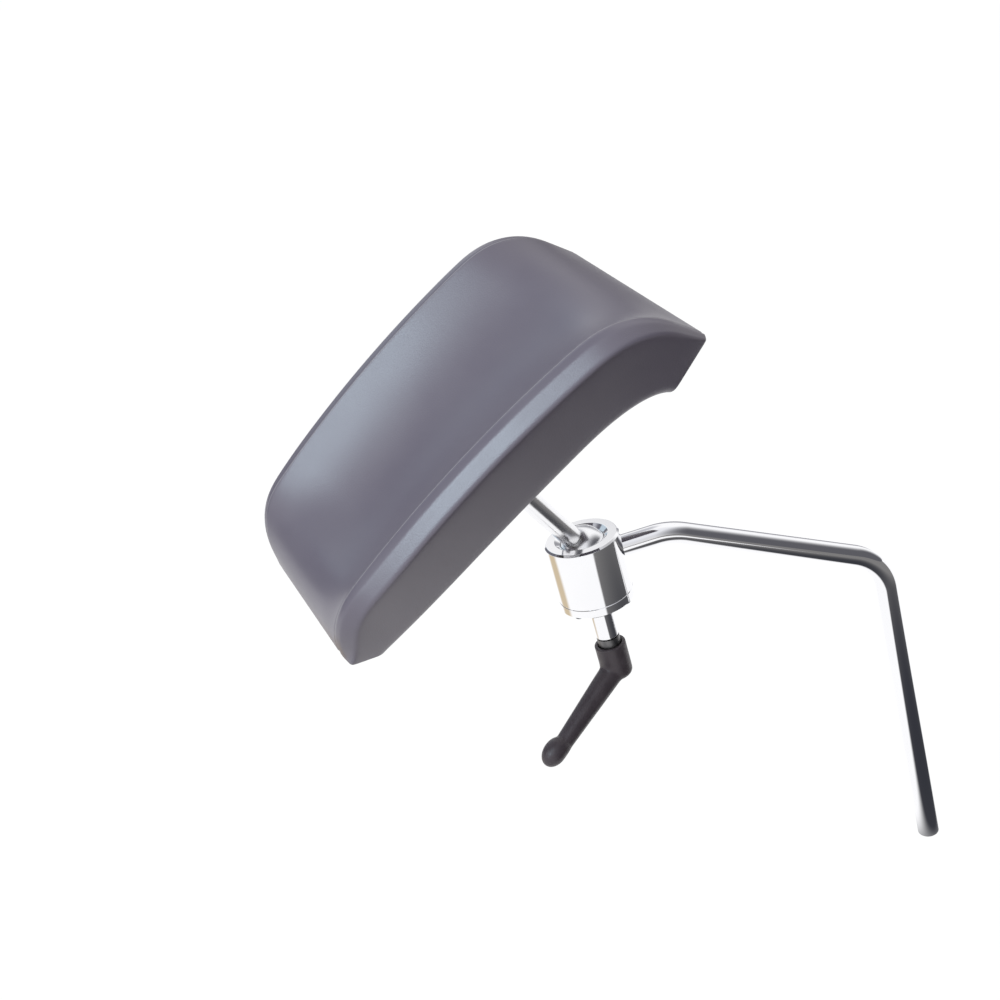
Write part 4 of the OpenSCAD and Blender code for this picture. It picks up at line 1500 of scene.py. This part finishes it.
@dataclass(frozen=True)
class Studio:
    """Camera, floor, lamps and the surroundings that the steel mirrors."""

    eye: Vector = Vector((-0.32906, -1.00788, 0.90238))
    right: Vector = Vector((0.953157, -0.159403, -0.257066))
    down: Vector = Vector((-0.299936, -0.388181, -0.871409))
    forward: Vector = Vector((0.039117, 0.907693, -0.417808))
    lens: float = 52.26
    sensor: float = 36.0
    clip_start: float = 0.05
    plain: float = 0.33
    white: Colour = (1.12, 1.12, 1.13)
    patches: tuple[Patch, ...] = (
        Patch((-0.25, 0.45, 0.86), (0.82, 0.97), (0.46, 0.47, 0.52)),
        Patch((-0.65, 0.68, 0.35), (0.80, 0.93), (0.16, 0.16, 0.19)),
        Patch((0.38, 0.92, 0.10), (0.86, 0.97), (0.36, 0.36, 0.39)),
        Patch((0.166, -0.621, 0.766), (0.72, 0.94), (0.93, 0.94, 0.98)),
        Patch((0.866, -0.5, 0.0), (0.45, 0.86), (0.12, 0.12, 0.135)),
    )
    lamps: tuple[Lamp, ...] = (
        Lamp("key_lamp", Vector((-1.28, -1.09, 2.26)), 1.45, 39.5),
        Lamp("back_lamp", Vector((-0.9, 1.5, 1.5)), 1.2, 2.0),
    )
    floor_size: float = 160.0
    floor_z: float = -0.0012
    paper: Colour = (0.54, 0.54, 0.54)
    paper_mottle: tuple[Colour, Colour] = ((0.52, 0.52, 0.52), (0.56, 0.56, 0.56))
    glow: float = 1.1
    glow_share: float = 0.9
    # What the steel mirrors in the floor is painted: a warm reflection, a dark reflection and a painted
    # shadow near the object's foot.
    warm_spot: Spot = Spot((-0.80, 0.40), (0.30, 0.12))
    warm: Colour = (0.70, 0.58, 0.41)
    dark_spot: Spot = Spot((0.35, -0.38), (0.555, 0.495))
    dark_right: Point = (0.15, 0.3)
    dark_front: Point = (0.12, 0.05)
    painted_shadow_core: Spot = Spot((0.08, -0.12), (0.05, 0.8))
    dark: tuple[Colour, Colour] = ((0.040, 0.042, 0.052), (0.23, 0.225, 0.225))

    def build(self) -> None:
        """Sets up the view, the floor, the lamps and the surroundings."""
        self._camera()
        self._floor()
        for lamp in self.lamps:
            lamp.hang()
        self._surroundings()
        bpy.context.scene.view_settings.view_transform = "Standard"

    def _camera(self) -> None:
        """Places the camera at the photograph's viewpoint."""
        data = bpy.data.cameras.new("camera")
        data.lens = self.lens
        data.sensor_width = self.sensor
        data.clip_start = self.clip_start
        camera = bpy.data.objects.new("camera", data)
        bpy.context.scene.collection.objects.link(camera)
        axes = Matrix((self.right, -self.down, -self.forward)).transposed()
        camera.matrix_world = Matrix.Translation(self.eye) @ axes.to_4x4()
        bpy.context.scene.camera = camera

    def _floor(self) -> None:
        """Lays a pale floor that shows white to the camera and keeps a soft shadow."""
        Bench.clear()
        bpy.ops.mesh.primitive_plane_add(size=self.floor_size, location=(0.0, 0.0, self.floor_z))
        floor = bpy.context.active_object
        floor.name = "floor"
        recipe = Recipe("floor_paper", self.paper, 0.9)
        mottle = recipe.noise(recipe.place(), 40.0, 3.0)
        recipe.tint(recipe.level(mottle, 0.3, 0.7), *self.paper_mottle)
        path = recipe.add("ShaderNodeLightPath")
        glow = recipe.add("ShaderNodeEmission")
        recipe.feed(self.glow, glow.inputs["Strength"])
        seen = recipe.maths("MULTIPLY", path.outputs["Is Camera Ray"], self.glow_share)
        look = self._mixed(recipe, seen, recipe.shader, glow)
        glossy, through = path.outputs["Is Glossy Ray"], path.outputs["Is Transmission Ray"]
        mirrored = recipe.maths("MAXIMUM", glossy, through)
        look = self._mixed(recipe, mirrored, look, self._mirrored_floor(recipe))
        recipe.feed(look.outputs[0], recipe.output)
        floor.data.materials.append(recipe.material)

    @staticmethod
    def _mixed(recipe: Recipe, share: Socket, first: Node, second: Node) -> Node:
        """Blends two shaders by a share."""
        mix = recipe.add("ShaderNodeMixShader")
        for source, socket in zip((share, first.outputs[0], second.outputs[0]), mix.inputs):
            recipe.feed(source, socket)
        return mix

    def _mirrored_floor(self, recipe: Recipe) -> Node:
        """Gives the floor as the steel mirrors it: white, with a painted dark reflection, a painted warm
        reflection and a painted shadow that darkens the dark part towards the object's foot.
        """
        place = recipe.place()
        x, y, _ = recipe.axes(place)

        def share(spot: Spot) -> Socket:
            """Gives how full a spot is at each place on the floor."""
            node = recipe.add("ShaderNodeVectorMath", operation="DISTANCE")
            recipe.feed(place, node.inputs[0])
            node.inputs[1].default_value = (*spot.at, 0.0)
            return recipe.level(node.outputs["Value"], *spot.edge)

        # Painted dark reflection to the right and front, deepened by painted shadow near the object's
        # foot, beside a painted warm reflection.
        wide = recipe.maths("MAXIMUM", share(self.dark_spot), recipe.level(x, *self.dark_right))
        part = recipe.maths("MULTIPLY", wide, recipe.level(y, *self.dark_front))
        dark = recipe.mixed(share(self.painted_shadow_core), *self.dark)
        warm = recipe.mixed(share(self.warm_spot), self.white, self.warm)
        glow = recipe.add("ShaderNodeEmission")
        recipe.feed(recipe.mixed(part, warm, dark), glow.inputs["Color"])
        return glow

    def _surroundings(self) -> None:
        """Makes the world: white behind the object, plain light on it, and a studio in its mirrors."""
        world = bpy.data.worlds.new("studio")
        bpy.context.scene.world = world
        world.use_nodes = True
        tree = Tree(world.node_tree)
        background = tree.add("ShaderNodeBackground")
        tree.feed(background.outputs[0], tree.add("ShaderNodeOutputWorld").inputs[0])
        direction = tree.add("ShaderNodeTexCoord").outputs["Generated"]
        room: Source = self.white
        for patch in self.patches:
            cosine = tree.add("ShaderNodeVectorMath", operation="DOT_PRODUCT")
            tree.feed(direction, cosine.inputs[0])
            cosine.inputs[1].default_value = Vector(patch.aim).normalized()
            room = tree.mixed(tree.level(cosine.outputs["Value"], *patch.edge), room, patch.colour)
        path = tree.add("ShaderNodeLightPath")
        colour = tree.mixed(path.outputs["Is Glossy Ray"], (self.plain,) * 3, room)
        seen = tree.maths("MAXIMUM", path.outputs["Is Camera Ray"], path.outputs["Is Transmission Ray"])
        tree.feed(tree.mixed(seen, colour, (1.0, 1.0, 1.0)), background.inputs["Color"])


def dress_nodes(pose: Pose, zinc: Material) -> None:
    """Gives the CAD nodes that stay their finishes."""
    housing, stem = pose.in_housing(), pose.on_stem()
    turned_steel = TurnedSteel("turned_steel_inner", housing).make()
    screws = ("rod_screw", "collar_screws", "stem_screw", "plate_nuts", "lever_screw")
    finishes = dict.fromkeys(screws, zinc) | {
        "seat_liner": Acetal().make(),
        "pressure_cup": turned_steel,
        "thrust_washer": Bronze().make(),
        "clamp_screw": ThreadedSteel("clamp_screw_thread", housing, 0.00175).make(),
        "lever_insert": BurnishedSteel().make(),
        "pad_plate": Plywood(stem @ Matrix.Translation((0.0, 0.0, BallStem.under_pad))).make(),
    }
    for name, finish in finishes.items():
        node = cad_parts[name]
        for slot in node.material_slots:
            slot.material = finish
        log.info("%s keeps its CAD shape", name)


def main() -> None:
    """Builds the sub-assemblies in order."""
    logging.basicConfig(level=logging.INFO, format="%(message)s")
    pose = Pose()
    stem = pose.on_stem()
    Studio().build()
    polished, zinc = PolishedSteel().make(), ZincSteel().make()
    satin = PolishedSteel("polished_steel_satin", roughness=0.2).make()
    skin = PadSkin()
    SupportRod().build(polished)
    BallHousing(pose).build(polished)
    flange = TurnedSteel("turned_steel_flange", stem).make()
    BallStem(pose).build(satin, flange, WeldBead(stem).make(), zinc)
    ClampLever(pose).build(LeverCoat().make(), TurnedSteel("spring_wire", pose.in_housing()).make())
    SaddlePad(pose).build(skin.make(), skin.parting)
    dress_nodes(pose, zinc)
    Bench.clear()


if __name__ == "__main__":
    main()
